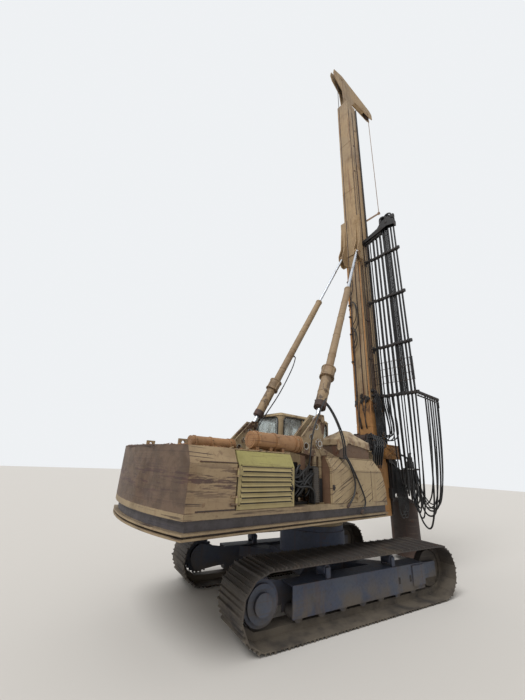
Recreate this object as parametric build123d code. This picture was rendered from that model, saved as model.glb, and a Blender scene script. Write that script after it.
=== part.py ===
from build123d import *
import math
import os

os.makedirs("parts", exist_ok=True)

# Crawler drilling rig in millimetres. X runs to the mast side, Y to the left, Z up from the ground.
# X is measured from the slew axis, and save() moves each piece to the middle of the overall length.
# The upper structure lies along X. The crawler below it is parked turned about Z.

# Gaps
move_gap = 5.0
pin_gap = 0.05
rest_gap = 0.3

# Crawler
parked_turn = -9.0
shoe_count = 48
straight_run = 4000.0
pin_circle = 372.0
grouser_reach = 93.0
grouser_mid_reach = 86.0
shoe_outside = 62.0
shoe_inside = 48.0
link_inside = 45.0
gauge_half = 1180.0
shoe_width = 740.0
link_width = 170.0
frame_half_width = 150.0
frame_plate = 20.0
frame_bottom = 200.0
frame_top = 610.0
frame_rear = -1480.0
frame_front = 1690.0
bottom_roller_radius = 88.0
bottom_roller_half = 120.0
bottom_roller_xs = [-1350.0, -900.0, -450.0, 0.0, 450.0, 900.0, 1350.0]
top_roller_radius = 75.0
top_roller_half = 90.0
top_roller_xs = [-750.0, 850.0]
roller_axle_radius = 28.0
idler_radius = 308.0
idler_half = 60.0
idler_axle_radius = 45.0
yoke_inner = 80.0
yoke_low = 330.0
yoke_high = 590.0
yoke_reach = 2120.0
sprocket_root = 268.0
sprocket_tip = 304.0
sprocket_half = 28.0
sprocket_teeth = 23
drive_radius = 200.0
drive_cover_radius = 285.0
drive_step_radius = 235.0
drive_cap_radius = 140.0
leg_bottom = 400.0
leg_top = 590.0
hub_half = 640.0
tower_radius = 665.0
tower_bottom = 590.0
tower_top = 1090.0
ring_outer = 640.0
ring_inner = 540.0
ring_split = 1180.0
tow_bore_radius = 32.0
tow_plate = 50.0
tow_half_width = 80.0
tow_reach = 90.0

# Upper structure
upper_half = 1300.0
under_deck = 1330.0
channel_bottom = 1405.0
channel_lip = 26.0
channel_slot = 24.0
sill_bottom = 1610.0
sill_top = 1690.0
channel_depth = 70.0
deck_thickness = 30.0
deck_half = upper_half - channel_depth + 6
beam_inner = 380.0
beam_outer = 440.0
beam_front = 2000.0
tail_corner = -3700.0
tail_middle = -3900.0
weight_front = -2985.0
house_front = -1880.0
bay_front = -960.0
box_seam = -228.0
box_front = 820.0
nose_bend = 1870.0
nose_middle = (748.0, 2100.0)
nose_top = 560.0
sill_front = 830.0
waist = 2245.0
top_inset = 110.0
house_top = 2460.0
panel_top = 2435.0
panel_thickness = 40.0
roof_thickness = 20.0
box_inner = -560.0
box_wall = 30.0

# Door hinges
hinge_out = 18.0
knuckle_radius = 16.0
knuckle_height = 60.0
lug_height = 24.0
hinge_pin_radius = 8.0
hinge_leaf = 85.0
side_hinge_levels = (1780.0, 2120.0)
cab_hinge_levels = (1930.0, 3180.0)

# Cab
cab_rear = -650.0
cab_front = 1150.0
cab_right = 350.0
cab_left = upper_half
cab_bottom = sill_top
cab_top = 3430.0
cab_wall = 50.0
cab_floor = 60.0
cab_door_rear = 150.0
cab_door_front = 1040.0
cab_door_bottom = 1790.0
cab_corner = 90.0
cab_door_top = cab_top - cab_corner
window_corner = 105.0
window_sill = 2620.0
window_head = cab_top - 100
glass_thickness = 8.0

# Mast
pivot_x = 2150.0
pivot_z = 2650.0
pivot_pin_radius = 60.0
cheek_rear = 400.0
cheek_inner = 300.0
cheek_outer = 340.0
mast_rear = 2300.0
mast_front = 2900.0
mast_half = 250.0
mast_wall = 16.0
mast_bottom = 1150.0
mast_split = 9700.0
mast_top = 17500.0
rail_thickness = 40.0
rail_inner = 200.0
rail_outer = 300.0
crown_rise = 2050.0
crown_top = mast_top + crown_rise
crown_reach = 4850.0
sheave_radius = 210.0
rope_front = 4620.0
rope_radius = 13.0
rope_arm_z = 11050.0
rope_tip_z = 12800.0

# Stays
foot_x = -980.0
foot_y = 1000.0
foot_z = 3100.0
stay_top_x = 2100.0
stay_top_y = 290.0
stay_top_z = 9200.0
stay_pin_radius = 40.0
lug_plate = 30.0
top_pin_inward = 38.0
top_pin_outward = 58.0
foot_axis_x = 0.01155
foot_axis_y = 0.99254
foot_axis_z = 0.12136
lower_rod_radius = 45.0
lower_barrel_radius = 112.0
upper_barrel_radius = 88.0
upper_rod_radius = 42.0

# Hoses on the mast
hose_x = 2650.0
hose_arm_end = -1440.0
hose_radius = 21.0
hanger_z = 4270.0

# Drill head
head_axis = 4050.0
carriage_bottom = 1560.0
carriage_top = 2720.0
gearbox_bottom = 1760.0
gearbox_top = 2240.0
barrel_radius = 375.0
barrel_rim = 25.0
barrel_wall = 25.0
barrel_bottom = 90.0
barrel_top = 1400.0

# The origin lies under the middle between the tail and the crown's tip
middle_x = (crown_reach + tail_middle) / 2


def block(x0, x1, y0, y1, z0, z1):
    return Pos((x0 + x1) / 2, (y0 + y1) / 2, (z0 + z1) / 2) * Box(x1 - x0, y1 - y0, z1 - z0)


def plate_xz(points, y0, y1):
    outline = Polyline(*[(x, y0, z) for x, z in points], close=True)
    return extrude(make_face(outline), amount=y1 - y0, dir=(0, 1, 0))


def plate_yz(points, x0, x1):
    outline = Polyline(*[(x0, y, z) for y, z in points], close=True)
    return extrude(make_face(outline), amount=x1 - x0, dir=(1, 0, 0))


def plate_xy(points, z0, z1):
    outline = Polyline(*[(x, y, z0) for x, y in points], close=True)
    return extrude(make_face(outline), amount=z1 - z0, dir=(0, 0, 1))


def rod_y(x, z, radius, y0, y1):
    return Pos(x, (y0 + y1) / 2, z) * Rot(90, 0, 0) * Cylinder(radius, y1 - y0)


def rod_x(y, z, radius, x0, x1):
    return Pos((x0 + x1) / 2, y, z) * Rot(0, 90, 0) * Cylinder(radius, x1 - x0)


def rod_z(x, y, radius, z0, z1):
    return Pos(x, y, (z0 + z1) / 2) * Cylinder(radius, z1 - z0)


def rod_between(start, end, radius):
    along = Vector(*end) - Vector(*start)
    plane = Plane(origin=start, z_dir=along)
    return plane * Pos(0, 0, along.length / 2) * Cylinder(radius, along.length)


def joined(solids):
    shape = solids[0]
    for other in solids[1:]:
        shape = shape + other
    return shape


def group(shapes):
    return Compound([solid for shape in shapes for solid in shape.solids()])


def save(shape, node):
    moved = Pos(-middle_x, 0, 0) * shape
    moved.label = node
    export_step(moved, "parts/" + node + ".step")


def save_crawler(shape, node):
    save(Rot(0, 0, parked_turn) * shape, node)


# Tracks: each shoe is a flat plate from pin to pin with three grousers
wheel_z = pin_circle + grouser_reach
loop_length = 2 * straight_run + 2 * math.pi * pin_circle
shoe_pitch = loop_length / shoe_count


def pin_at(index):
    s = (index % shoe_count) * shoe_pitch
    half = straight_run / 2
    arc = math.pi * pin_circle
    if s < straight_run:
        return (-half + s, wheel_z + pin_circle)
    s -= straight_run
    if s < arc:
        turn = s / pin_circle
        return (half + pin_circle * math.sin(turn), wheel_z + pin_circle * math.cos(turn))
    s -= arc
    if s < straight_run:
        return (half - s, wheel_z - pin_circle)
    turn = (s - straight_run) / pin_circle
    return (-half - pin_circle * math.sin(turn), wheel_z - pin_circle * math.cos(turn))


def shoe_frame(index):
    x0, z0 = pin_at(index)
    x1, z1 = pin_at(index + 1)
    length = math.hypot(x1 - x0, z1 - z0)
    return (x0 + x1) / 2, (z0 + z1) / 2, (x1 - x0) / length, (z1 - z0) / length


# Columns: place along the shoe in pitches, height above the pins
shoe_profile = [
    (-0.46, shoe_outside),
    (-0.41, grouser_reach),
    (-0.33, grouser_reach),
    (-0.28, shoe_outside),
    (-0.07, shoe_outside),
    (-0.02, grouser_mid_reach),
    (0.02, grouser_mid_reach),
    (0.07, shoe_outside),
    (0.28, shoe_outside),
    (0.34, grouser_mid_reach),
    (0.40, shoe_outside),
    (0.46, shoe_outside),
]


def outer_outline():
    points = []
    for index in range(shoe_count):
        mx, mz, tx, tz = shoe_frame(index)
        for along, out in shoe_profile:
            u = along * shoe_pitch
            points.append((mx + tx * u - tz * out, mz + tz * u + tx * out))
    return points


def pin_outline(out):
    points = []
    for index in range(shoe_count):
        _, _, ax, az = shoe_frame(index - 1)
        _, _, bx, bz = shoe_frame(index)
        nx, nz = -(az + bz), ax + bx
        size = math.hypot(nx, nz)
        x, z = pin_at(index)
        points.append((x + nx / size * out, z + nz / size * out))
    return points


def make_track(side):
    middle = side * gauge_half
    y0 = middle - shoe_width / 2
    y1 = middle + shoe_width / 2
    shoes = plate_xz(outer_outline(), y0, y1) - plate_xz(pin_outline(shoe_inside), y0 - 1, y1 + 1)
    c0 = middle - link_width / 2
    c1 = middle + link_width / 2
    links = plate_xz(pin_outline(shoe_inside + 4), c0, c1) - plate_xz(pin_outline(-link_inside), c0 - 1, c1 + 1)
    return shoes + links


def make_track_frame(side):
    middle = side * gauge_half
    inner = middle - side * frame_half_width
    outer = middle + side * frame_half_width
    pieces = [block(frame_rear, frame_front, *sorted((inner, outer)), frame_top - frame_plate, frame_top)]
    for face, sign in ((inner, side), (outer, -side)):
        y0, y1 = sorted((face, face + sign * frame_plate))
        pieces.append(block(frame_rear, frame_front, y0, y1, frame_bottom, frame_top))
    for sign in (-1, 1):
        y0, y1 = sorted((middle + sign * yoke_inner, middle + sign * (frame_half_width - frame_plate)))
        pieces.append(block(1250, yoke_reach, y0, y1, yoke_low, yoke_high))
        y0, y1 = sorted((middle + sign * (frame_half_width - 1), middle + sign * (frame_half_width + 22)))
        pieces.append(block(1330, frame_front, y0, y1, frame_bottom + 60, frame_top - 25))
        roller_y = sorted((middle + sign * (top_roller_half + 3), middle + sign * (top_roller_half + 33)))
        for x in top_roller_xs:
            pieces.append(block(x - 45, x + 45, *roller_y, frame_top - 5, top_roller_z + 40))
    y0, y1 = sorted((inner, inner + side * frame_plate))
    arm = plate_xz([(frame_rear + 5, 300), (-straight_run / 2, 245), (-straight_run / 2, 685), (frame_rear + 5, 600)], y0, y1)
    pad = rod_y(-straight_run / 2, wheel_z, drive_radius + 25, y0, y1)
    pieces.append(arm)
    pieces.append(pad)
    return joined(pieces)


bottom_roller_z = wheel_z - pin_circle + link_inside + bottom_roller_radius + rest_gap
top_roller_z = wheel_z + pin_circle - link_inside - top_roller_radius - rest_gap
for side, name in ((1, "left"), (-1, "right")):
    save_crawler(make_track(side), "track_" + name)
    save_crawler(make_track_frame(side), "track_frame_" + name)

rollers = []
idlers = []
drives = []
for side in (1, -1):
    middle = side * gauge_half
    for x in bottom_roller_xs:
        half = frame_half_width - frame_plate - rest_gap
        wheel = rod_y(x, bottom_roller_z, bottom_roller_radius, middle - bottom_roller_half, middle + bottom_roller_half)
        rollers.append(wheel + rod_y(x, bottom_roller_z, roller_axle_radius, middle - half, middle + half))
    for x in top_roller_xs:
        half = top_roller_half + 3 - rest_gap
        wheel = rod_y(x, top_roller_z, top_roller_radius, middle - top_roller_half, middle + top_roller_half)
        rollers.append(wheel + rod_y(x, top_roller_z, roller_axle_radius, middle - half, middle + half))
    idler_x = straight_run / 2
    idler = rod_y(idler_x, wheel_z, idler_radius, middle - idler_half, middle + idler_half)
    idler = idler + rod_y(idler_x, wheel_z, idler_axle_radius, middle - yoke_inner + rest_gap, middle + yoke_inner - rest_gap)
    idlers.append(idler)
    drive_x = -straight_run / 2
    teeth = []
    for tooth in range(sprocket_teeth):
        for part, radius in ((-0.30, sprocket_root), (-0.14, sprocket_tip), (0.14, sprocket_tip), (0.30, sprocket_root)):
            angle = 2 * math.pi * (tooth + part) / sprocket_teeth
            teeth.append((drive_x + radius * math.cos(angle), wheel_z + radius * math.sin(angle)))
    wheel = plate_xz(teeth, middle - sprocket_half, middle + sprocket_half)
    inner = middle - side * (frame_half_width - frame_plate - rest_gap)
    cover = middle + side * 110
    step = middle + side * 150
    cap = middle + side * 195
    wheel = wheel + rod_y(drive_x, wheel_z, drive_radius, *sorted((inner, middle)))
    wheel = wheel + rod_y(drive_x, wheel_z, drive_cover_radius, *sorted((middle, cover)))
    wheel = wheel + rod_y(drive_x, wheel_z, drive_step_radius, *sorted((middle, step)))
    wheel = wheel + rod_y(drive_x, wheel_z, drive_cap_radius, *sorted((middle, cap)))
    drives.append(wheel)
save_crawler(group(rollers), "track_rollers")
save_crawler(group(idlers), "idler_wheels")
save_crawler(group(drives), "drive_sprockets")

# Car body: a hub with four legs, the lower slew ring on its tower and a tow lug at each end
car = [block(-hub_half, hub_half, -hub_half, hub_half, leg_bottom, leg_top + 60)]
leg_end = gauge_half - frame_half_width
for sx in (-1, 1):
    for sy in (-1, 1):
        plan = [(sx * 180, sy * (hub_half - 60)), (sx * 640, sy * (hub_half - 60)), (sx * 1150, sy * leg_end), (sx * 620, sy * leg_end)]
        car.append(plate_xy(plan, leg_bottom, leg_top))
    tow_x = sx * (hub_half + tow_reach)
    plate = block(*sorted((sx * (hub_half - 20), tow_x)), -tow_half_width, tow_half_width, leg_bottom, leg_bottom + tow_plate)
    plate = plate + rod_z(tow_x, 0, tow_half_width, leg_bottom, leg_bottom + tow_plate)
    car.append(plate - rod_z(tow_x, 0, tow_bore_radius, leg_bottom - 10, leg_bottom + tow_plate + 10))
car.append(rod_z(0, 0, tower_radius, tower_bottom, tower_top) - rod_z(0, 0, ring_inner - 60, leg_top + 200, tower_top + 10))
car.append(rod_z(0, 0, ring_outer, tower_top - 5, ring_split) - rod_z(0, 0, ring_inner, tower_top - 20, ring_split + 10))
save_crawler(joined(car), "car_body")

deck_top = sill_bottom + 30 + deck_thickness

# Upper frame: ring, beams, deck, side channels round the tail, and cheeks that carry the mast
frame = [rod_z(0, 0, ring_outer, ring_split + move_gap, under_deck + 20) - rod_z(0, 0, ring_inner - 40, ring_split, under_deck + 60)]
frame.append(block(-750, 750, -700, 700, under_deck, under_deck + 40))
collar = rod_z(0, 0, ring_inner - rest_gap, ring_split - 60, ring_split + 40)
frame.append(collar - rod_z(0, 0, ring_inner - 40, ring_split - 70, ring_split + 60))
for side in (-1, 1):
    frame.append(block(tail_corner + 250, beam_front, *sorted((side * beam_inner, side * beam_outer)), under_deck, sill_bottom + 40))
frame.append(block(tail_corner + 100, sill_front, -deck_half, deck_half, sill_bottom + 30, deck_top))
for x in (-3350.0, -2450.0, -1500.0, -500.0, 600.0):
    frame.append(block(x - 20, x + 20, -deck_half, deck_half, channel_bottom + 20, sill_bottom + 40))


def tail_plan(half, corner, middle, front):
    side_edge = [Line((front, -half), (corner, -half)), Line((corner, half), (front, half))]
    bow = ThreePointArc((corner, -half), (middle, 0), (corner, half))
    closing = Line((front, half), (front, -half))
    return make_face([side_edge[0], bow, side_edge[1], closing])


def tail_slab(half, corner, middle, front, z0, z1):
    return extrude(Pos(0, 0, z0) * tail_plan(half, corner, middle, front), amount=z1 - z0, dir=(0, 0, 1))


inner_half = upper_half - channel_depth
band_cut = tail_slab(inner_half, tail_corner + channel_depth, tail_middle + channel_depth, sill_front + 10, channel_bottom - 5, sill_top + 5)
recess = tail_slab(upper_half + 1, tail_corner - 1, tail_middle - 1, sill_front + 10, channel_bottom + channel_lip, sill_bottom)
recess = recess - tail_slab(inner_half + 18, tail_corner + 52, tail_middle + 52, sill_front + 20, channel_bottom, sill_bottom + 5)
lip_bottom = channel_bottom + channel_lip + channel_slot
recess = recess - tail_slab(upper_half + 2, tail_corner - 2, tail_middle - 2, sill_front + 20, lip_bottom, lip_bottom + channel_lip)
band = tail_slab(upper_half, tail_corner, tail_middle, sill_front, channel_bottom, sill_top) - band_cut
band = band - recess
frame.append(band)
frame.append(block(sill_front - 5, beam_front, -beam_outer, beam_outer, sill_bottom + 30, deck_top))
frame.append(block(sill_front - 10, cab_front, beam_inner, cab_left, sill_bottom, sill_top))
for x in (cab_rear + 60, 300.0):
    frame.append(block(x, x + 120, cab_right + 60, cab_right + 180, sill_bottom + 40, sill_top))
save(joined(frame), "upper_frame")

# Mast cradle: two cheeks on the deck with the mast's pivot pin
cheek = [(cheek_rear, deck_top), (beam_front - 50, deck_top), (pivot_x + 130, pivot_z - 130), (pivot_x + 130, pivot_z + 90)]
cheek = cheek + [(pivot_x + 50, pivot_z + 150), (pivot_x - 90, pivot_z + 150), (1500, 2380), (cheek_rear, 1960)]
cradle = [plate_xz(cheek, *sorted((side * cheek_inner, side * cheek_outer))) for side in (-1, 1)]
for x in (cheek_rear + 60, 1350.0):
    cradle.append(block(x, x + 60, -cheek_inner, cheek_inner, deck_top, 1960))
cradle.append(rod_y(pivot_x, pivot_z, pivot_pin_radius, -cheek_outer - 30, cheek_outer + 30))
shelf_top = pivot_z + 40
shelf_rear = 1500.0
shelf_front = 2040.0
shelf_out = -640.0
shelf_side = [(shelf_rear, shelf_top), (shelf_front, shelf_top), (shelf_front, shelf_top - 240), (shelf_rear + 200, shelf_top - 240)]
cradle.append(plate_xz(shelf_side, -cheek_outer - 20, -cheek_outer))
cradle.append(block(shelf_rear, shelf_front, shelf_out, -cheek_outer, shelf_top - 20, shelf_top))
save(joined(cradle), "mast_cradle")


# Tumblehome section of the side panels
def side_section(side, bottom, top, thickness):
    inset = top_inset * (top - waist) / (house_top - waist)
    outside = [(upper_half, bottom), (upper_half, waist), (upper_half - inset, top)]
    inside = [(upper_half - inset - thickness, top), (upper_half - thickness, waist - 8), (upper_half - thickness, bottom)]
    return [(side * y, z) for y, z in outside + inside]


def body_section(top):
    return [(-upper_half, sill_top), (-upper_half, waist), (-upper_half + top_inset, top), (upper_half - top_inset, top), (upper_half, waist), (upper_half, sill_top)]


weight = tail_slab(upper_half, tail_corner, tail_middle, weight_front, sill_top, house_top)
weight = weight & plate_yz(body_section(house_top), tail_middle - 50, weight_front + 50)
lift_bores = rod_y(-3500, house_top + 45, 30, -800, 800)
for side in (-1, 1):
    lug = block(-3570, -3430, *sorted((side * 600, side * 640)), house_top - 20, house_top + 100)
    weight = weight + lug
weight = weight - lift_bores

panel_rear = weight_front + move_gap * 4
panel_bottom = sill_top + move_gap
louvre_front = house_front - move_gap


# Door hinges: a knuckle on the door turns on a pin held between two lugs
def knuckle(x, side, leaf, z0, z1):
    axis_y = side * (upper_half + hinge_out)
    plate = block(*sorted((x, x + leaf)), *sorted((side * (upper_half - 2), side * (upper_half + 12))), z0, z1)
    return plate + rod_z(x, axis_y, knuckle_radius, z0, z1)


def door_knuckles(door, x, side, leaf, levels):
    axis_y = side * (upper_half + hinge_out)
    for z in levels:
        door = door + knuckle(x, side, leaf, z, z + knuckle_height)
        door = door - rod_z(x, axis_y, hinge_pin_radius + pin_gap, z - 1, z + knuckle_height + 1)
    return door


def hinge_lugs(carrier, x, side, leaf, levels):
    axis_y = side * (upper_half + hinge_out)
    for z in levels:
        top = z + knuckle_height
        carrier = carrier + knuckle(x, side, leaf, z - lug_height, z - rest_gap)
        carrier = carrier + knuckle(x, side, leaf, top + rest_gap, top + lug_height)
        carrier = carrier + rod_z(x, axis_y, hinge_pin_radius, z - lug_height, top + lug_height)
    return carrier


def louvred(side, bottom, top):
    panel = plate_yz(side_section(side, bottom, top, panel_thickness), panel_rear, louvre_front)
    for row in range(7):
        z = 1770 + row * 66
        slot = plate_yz([(side * (upper_half - 26), z + 34), (side * (upper_half + 5), z), (side * (upper_half + 5), z + 34)], panel_rear + 60, louvre_front - 60)
        panel = panel - slot
    return panel


louvre_hinge_x = weight_front + 10
save(hinge_lugs(weight, louvre_hinge_x, -1, -hinge_leaf, side_hinge_levels), "counterweight")
louvre_door = louvred(-1, panel_bottom, panel_top)
save(door_knuckles(louvre_door, louvre_hinge_x, -1, hinge_leaf, side_hinge_levels), "louvre_door_right")
save(louvred(1, sill_top, house_top - roof_thickness), "louvre_panel_left")
roof = block(panel_rear, house_front, -(upper_half - top_inset), upper_half - top_inset, house_top - roof_thickness, house_top)
front_wall = block(house_front - 30, house_front - 5, -1140, 1140, deck_top, house_top - roof_thickness)
save(roof + front_wall, "house_roof")
save(block(-2750, -2000, -420, 420, 1670, 2350), "engine_block")

# Right front box with one hinged door, hollow
nose_outside = [(box_front, nose_bend), nose_middle, (nose_top, house_top)]
nose_inside = [(nose_top - box_wall, house_top), (nose_middle[0] - box_wall, nose_middle[1] - 8), (box_front - box_wall, nose_bend - 4)]
box_side = [(bay_front, sill_top), (box_front, sill_top)] + nose_outside + [(bay_front, house_top)]
box = [block(bay_front, nose_top - 5, -(upper_half - top_inset), box_inner, house_top - roof_thickness, house_top)]
box.append(plate_xz(box_side, box_inner - box_wall, box_inner))
inner_face = [(y, z) for y, z in body_section(house_top - roof_thickness) if y < 0]
inner_face = [(box_inner, sill_top)] + inner_face + [(box_inner, house_top - roof_thickness)]
for x0 in (bay_front, box_seam + move_gap):
    box.append(plate_yz(inner_face, x0, x0 + box_wall))
nose = plate_xz([(box_front, sill_top)] + nose_outside + nose_inside + [(box_front - box_wall, sill_top)], -upper_half, box_inner)
box.append(nose & plate_yz(body_section(house_top), bay_front, box_front + 10))
side_panel = plate_yz(side_section(-1, sill_top, panel_top, panel_thickness), box_seam + move_gap, box_front)
box.append(side_panel & plate_xz(box_side, -upper_half - 10, box_inner))
box.append(block(bay_front, box_front, -deck_half + 10, box_inner, deck_top, sill_top + 1))
front_box = joined(box)
door_space = plate_yz(side_section(-1, sill_top - 1, panel_top + move_gap, panel_thickness + move_gap), bay_front - 10, box_seam + move_gap)
front_box = front_box - door_space
box_hinge_x = box_seam + move_gap / 2
save(hinge_lugs(front_box, box_hinge_x, -1, hinge_leaf, side_hinge_levels), "front_box")
box_door = plate_yz(side_section(-1, panel_bottom, panel_top, panel_thickness), bay_front + move_gap, box_seam)
save(door_knuckles(box_door, box_hinge_x, -1, -hinge_leaf, side_hinge_levels), "front_box_door")
save(plate_yz(side_section(1, sill_top, panel_top, panel_thickness), house_front, cab_rear - 60), "left_bay_panel")

# Bay fittings: valve bank, filters and pipes on the deck
bay = [block(-1760, -1330, -860, -620, deck_top, deck_top + 330)]
for row in range(5):
    bay.append(rod_z(-1700 + row * 78, -740, 26, deck_top + 320, deck_top + 420))
for row in range(2):
    bay.append(rod_z(-1700 + row * 200, -480, 80, deck_top, deck_top + 560))
bank = [block(shelf_rear + 40, shelf_front - 30, shelf_out + 50, shelf_out + 230, shelf_top + rest_gap, shelf_top + 150)]
for row in range(5):
    bank.append(rod_z(shelf_rear + 90 + row * 95, shelf_out + 140, 34, shelf_top + 140, shelf_top + 250))
save(group([joined(bay[:6]), bay[6], bay[7], joined(bank)]), "bay_valves")

# Cab: hollow shell, windows cut, door opening on the left
cab = block(cab_rear, cab_front, cab_right, cab_left, cab_bottom, cab_top)
cab = fillet(cab.edges().filter_by(Axis.Z) + cab.faces().sort_by(Axis.Z)[-1].edges(), cab_corner)
cab = cab - block(cab_rear + cab_wall, cab_front - cab_wall, cab_right + cab_wall, cab_left - cab_wall, cab_bottom + cab_floor, cab_top - cab_wall)
door_frame = block(cab_door_rear, cab_door_front, cab_left - cab_wall - 10, cab_left + 10, cab_door_bottom, cab_door_top)
window_ys = (cab_right + 90, cab_left - 90)
rear_window = block(cab_rear - 10, cab_rear + cab_wall + 10, *window_ys, window_sill, window_head)
right_window = block(cab_rear + 100, cab_front - 120, cab_right - 10, cab_right + cab_wall + 10, window_sill, window_head)
front_window = block(cab_front - cab_wall - 10, cab_front + 10, *window_ys, window_sill - 470, window_head)
left_window = block(cab_rear + 100, cab_door_rear - 80, cab_left - cab_wall - 10, cab_left + 10, window_sill, window_head)
windows = []
for opening in (rear_window, front_window):
    windows.append(fillet(opening.edges().filter_by(Axis.X), window_corner))
for opening in (right_window, left_window):
    windows.append(fillet(opening.edges().filter_by(Axis.Y), window_corner))
cab = cab - door_frame
for opening in windows:
    cab = cab - opening
cab_hinge_x = cab_door_rear + move_gap / 2
save(hinge_lugs(cab, cab_hinge_x, 1, -hinge_leaf, cab_hinge_levels), "cab_shell")
panes = []
pane_places = [
    block(cab_rear + 20, cab_rear + 20 + glass_thickness, cab_right, cab_left, cab_bottom, cab_top),
    block(cab_front - 28, cab_front - 28 + glass_thickness, cab_right, cab_left, cab_bottom, cab_top),
    block(cab_rear, cab_front, cab_right + 20, cab_right + 20 + glass_thickness, cab_bottom, cab_top),
    block(cab_rear, cab_front, cab_left - 28, cab_left - 28 + glass_thickness, cab_bottom, cab_top),
]
for opening, sheet in zip((windows[0], windows[1], windows[2], windows[3]), pane_places):
    panes.append(opening & sheet)
save(group(panes), "cab_glass")
door = block(cab_door_rear + move_gap, cab_door_front - move_gap, cab_left - cab_wall, cab_left, cab_door_bottom + move_gap, cab_door_top - move_gap)
door_window = block(cab_door_rear + 80, cab_door_front - 80, cab_left - cab_wall - 10, cab_left + 10, window_sill - 170, cab_door_top - 80)
door_window = fillet(door_window.edges().filter_by(Axis.Y), window_corner)
save(door_knuckles(door - door_window, cab_hinge_x, 1, hinge_leaf, cab_hinge_levels), "cab_door")
save(door_window & block(cab_rear, cab_front, cab_left - 28, cab_left - 28 + glass_thickness, cab_bottom, cab_top), "cab_door_glass")
seat_y = (cab_right + cab_left) / 2
seat_floor = cab_bottom + cab_floor
seat = block(80, 560, seat_y - 240, seat_y + 240, seat_floor + 260, seat_floor + 380)
seat = seat + block(40, 160, seat_y - 240, seat_y + 240, seat_floor + 300, seat_floor + 980)
seat = seat + block(180, 460, seat_y - 140, seat_y + 140, seat_floor, seat_floor + 270)
for side in (-1, 1):
    y0, y1 = sorted((seat_y + side * 280, seat_y + side * 340))
    seat = seat + block(160, 560, y0, y1, seat_floor + 260, seat_floor + 560)
    seat = seat + block(160, 300, *sorted((seat_y + side * 340, seat_y)), seat_floor + 262, seat_floor + 300)
save(seat, "cab_seat")

# The stays' line, and the foot pin's axis, which lies square to the plane that each stay sweeps
def stay_point(side, share):
    return (
        foot_x + (stay_top_x - foot_x) * share,
        side * (foot_y + (stay_top_y - foot_y) * share),
        foot_z + (stay_top_z - foot_z) * share,
    )


def foot_axis(side):
    return (side * -foot_axis_x, foot_axis_y, side * foot_axis_z)


def turned_pin(side, radius, half):
    start = Vector(foot_x, side * foot_y, foot_z) - Vector(*foot_axis(side)) * half
    end = Vector(foot_x, side * foot_y, foot_z) + Vector(*foot_axis(side)) * half
    return rod_between(tuple(start), tuple(end), radius)


# Stay brackets: two pierced cheeks a side on slim legs, with a boss, a foot pin and a banded strut tube behind
strut_front = -1500.0
strut_radius = 130.0
strut_z = house_top + 160
bracket_outline = [(-1010, 2440), (-960, 2600), (-880, 3040), (-900, 3190), (-1060, 3200), (strut_front, 2760), (strut_front, 2480), (-1200, 2440)]
# Columns: rear and front edge at the deck, rear and front edge at the cheek
bracket_legs = [(-1185, -1140, -1200, -1120), (-1035, -990, -1060, -985)]
bracket_holes = [(-1395, 2600, 52), (-1260, 2770, 44), (-1120, 2960, 50)]
cheek_gap = 72.0
cheek_plate = 30.0
brackets = []
for side in (-1, 1):
    pieces = []
    for sign in (-1, 1):
        near = side * foot_y + sign * cheek_gap
        far = near + sign * cheek_plate
        pieces.append(plate_xz(bracket_outline, *sorted((near, far))))
        for low_rear, low_front, high_rear, high_front in bracket_legs:
            leg = [(low_rear, deck_top), (low_front, deck_top), (high_front, 2480), (high_rear, 2480)]
            pieces.append(plate_xz(leg, *sorted((near, far))))
    reach = cheek_gap + cheek_plate + 35
    pieces.append(rod_y(-1090, 2660, 88, side * foot_y - reach, side * foot_y + reach))
    pieces.append(turned_pin(side, stay_pin_radius, reach))
    pieces.append(block(-1230, -965, side * foot_y - reach, side * foot_y + reach, deck_top, deck_top + 30))
    pieces.append(rod_x(side * foot_y, strut_z, strut_radius, strut_front, strut_front + 30))
    bracket = joined(pieces)
    for x, z, radius in bracket_holes:
        bracket = bracket - rod_y(x, z, radius, side * foot_y - reach, side * foot_y + reach)
    brackets.append(bracket)
save(group(brackets), "stay_brackets")
struts = []
for side in (-1, 1):
    y = side * foot_y
    tube = rod_x(y, strut_z, strut_radius, -2570, strut_front)
    for x in (-2480, -2100, -1640):
        tube = tube + rod_x(y, strut_z, strut_radius + 12, x - 18, x + 18)
    for x in (-2480, -2200, -1940):
        tube = tube + block(x - 30, x + 30, y - 90, y + 90, house_top, strut_z - 40)
    struts.append(tube)
save(group(struts), "strut_tubes")
deck_box_top = house_top + 330
save(block(-490, 530, -1140, -640, house_top, deck_box_top), "deck_box")
save(block(-520, 560, -1165, -615, deck_box_top + rest_gap, deck_box_top + 220), "deck_cover")

# Mast: two hollow box sections, guide rails, foot lugs and stay skirt
for name, z0, z1 in (("mast_lower", mast_bottom, mast_split), ("mast_upper", mast_split, mast_top)):
    section = block(mast_rear, mast_front, -mast_half, mast_half, z0, z1)
    section = section - block(mast_rear + mast_wall, mast_front - mast_wall, -mast_half + mast_wall, mast_half - mast_wall, z0 - 5, z1 + 5)
    save(section, name)
rails = []
for side in (-1, 1):
    rails.append(block(mast_front, mast_front + rail_thickness, *sorted((side * rail_inner, side * rail_outer)), mast_bottom + 30, mast_top - 60))
save(group(rails), "mast_rails")
lugs = []
for side in (-1, 1):
    lug = plate_xz([(pivot_x, pivot_z - 130), (mast_rear, pivot_z - 260), (mast_rear, pivot_z + 185), (pivot_x, pivot_z + 130)], *sorted((side * 170, side * 240)))
    lug = lug + rod_y(pivot_x, pivot_z, 130, *sorted((side * 170, side * 285)))
    lug = lug - rod_y(pivot_x, pivot_z, pivot_pin_radius + pin_gap, -400, 400)
    lugs.append(lug)
save(group(lugs), "mast_foot_lugs")
side_block = block(2350, 2820, -360, -mast_half, 2560, 2860)
side_block = side_block + block(pivot_x + 110, 3050, -560, -360, 2550, 2910)
save(side_block, "foot_side_block")

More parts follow.
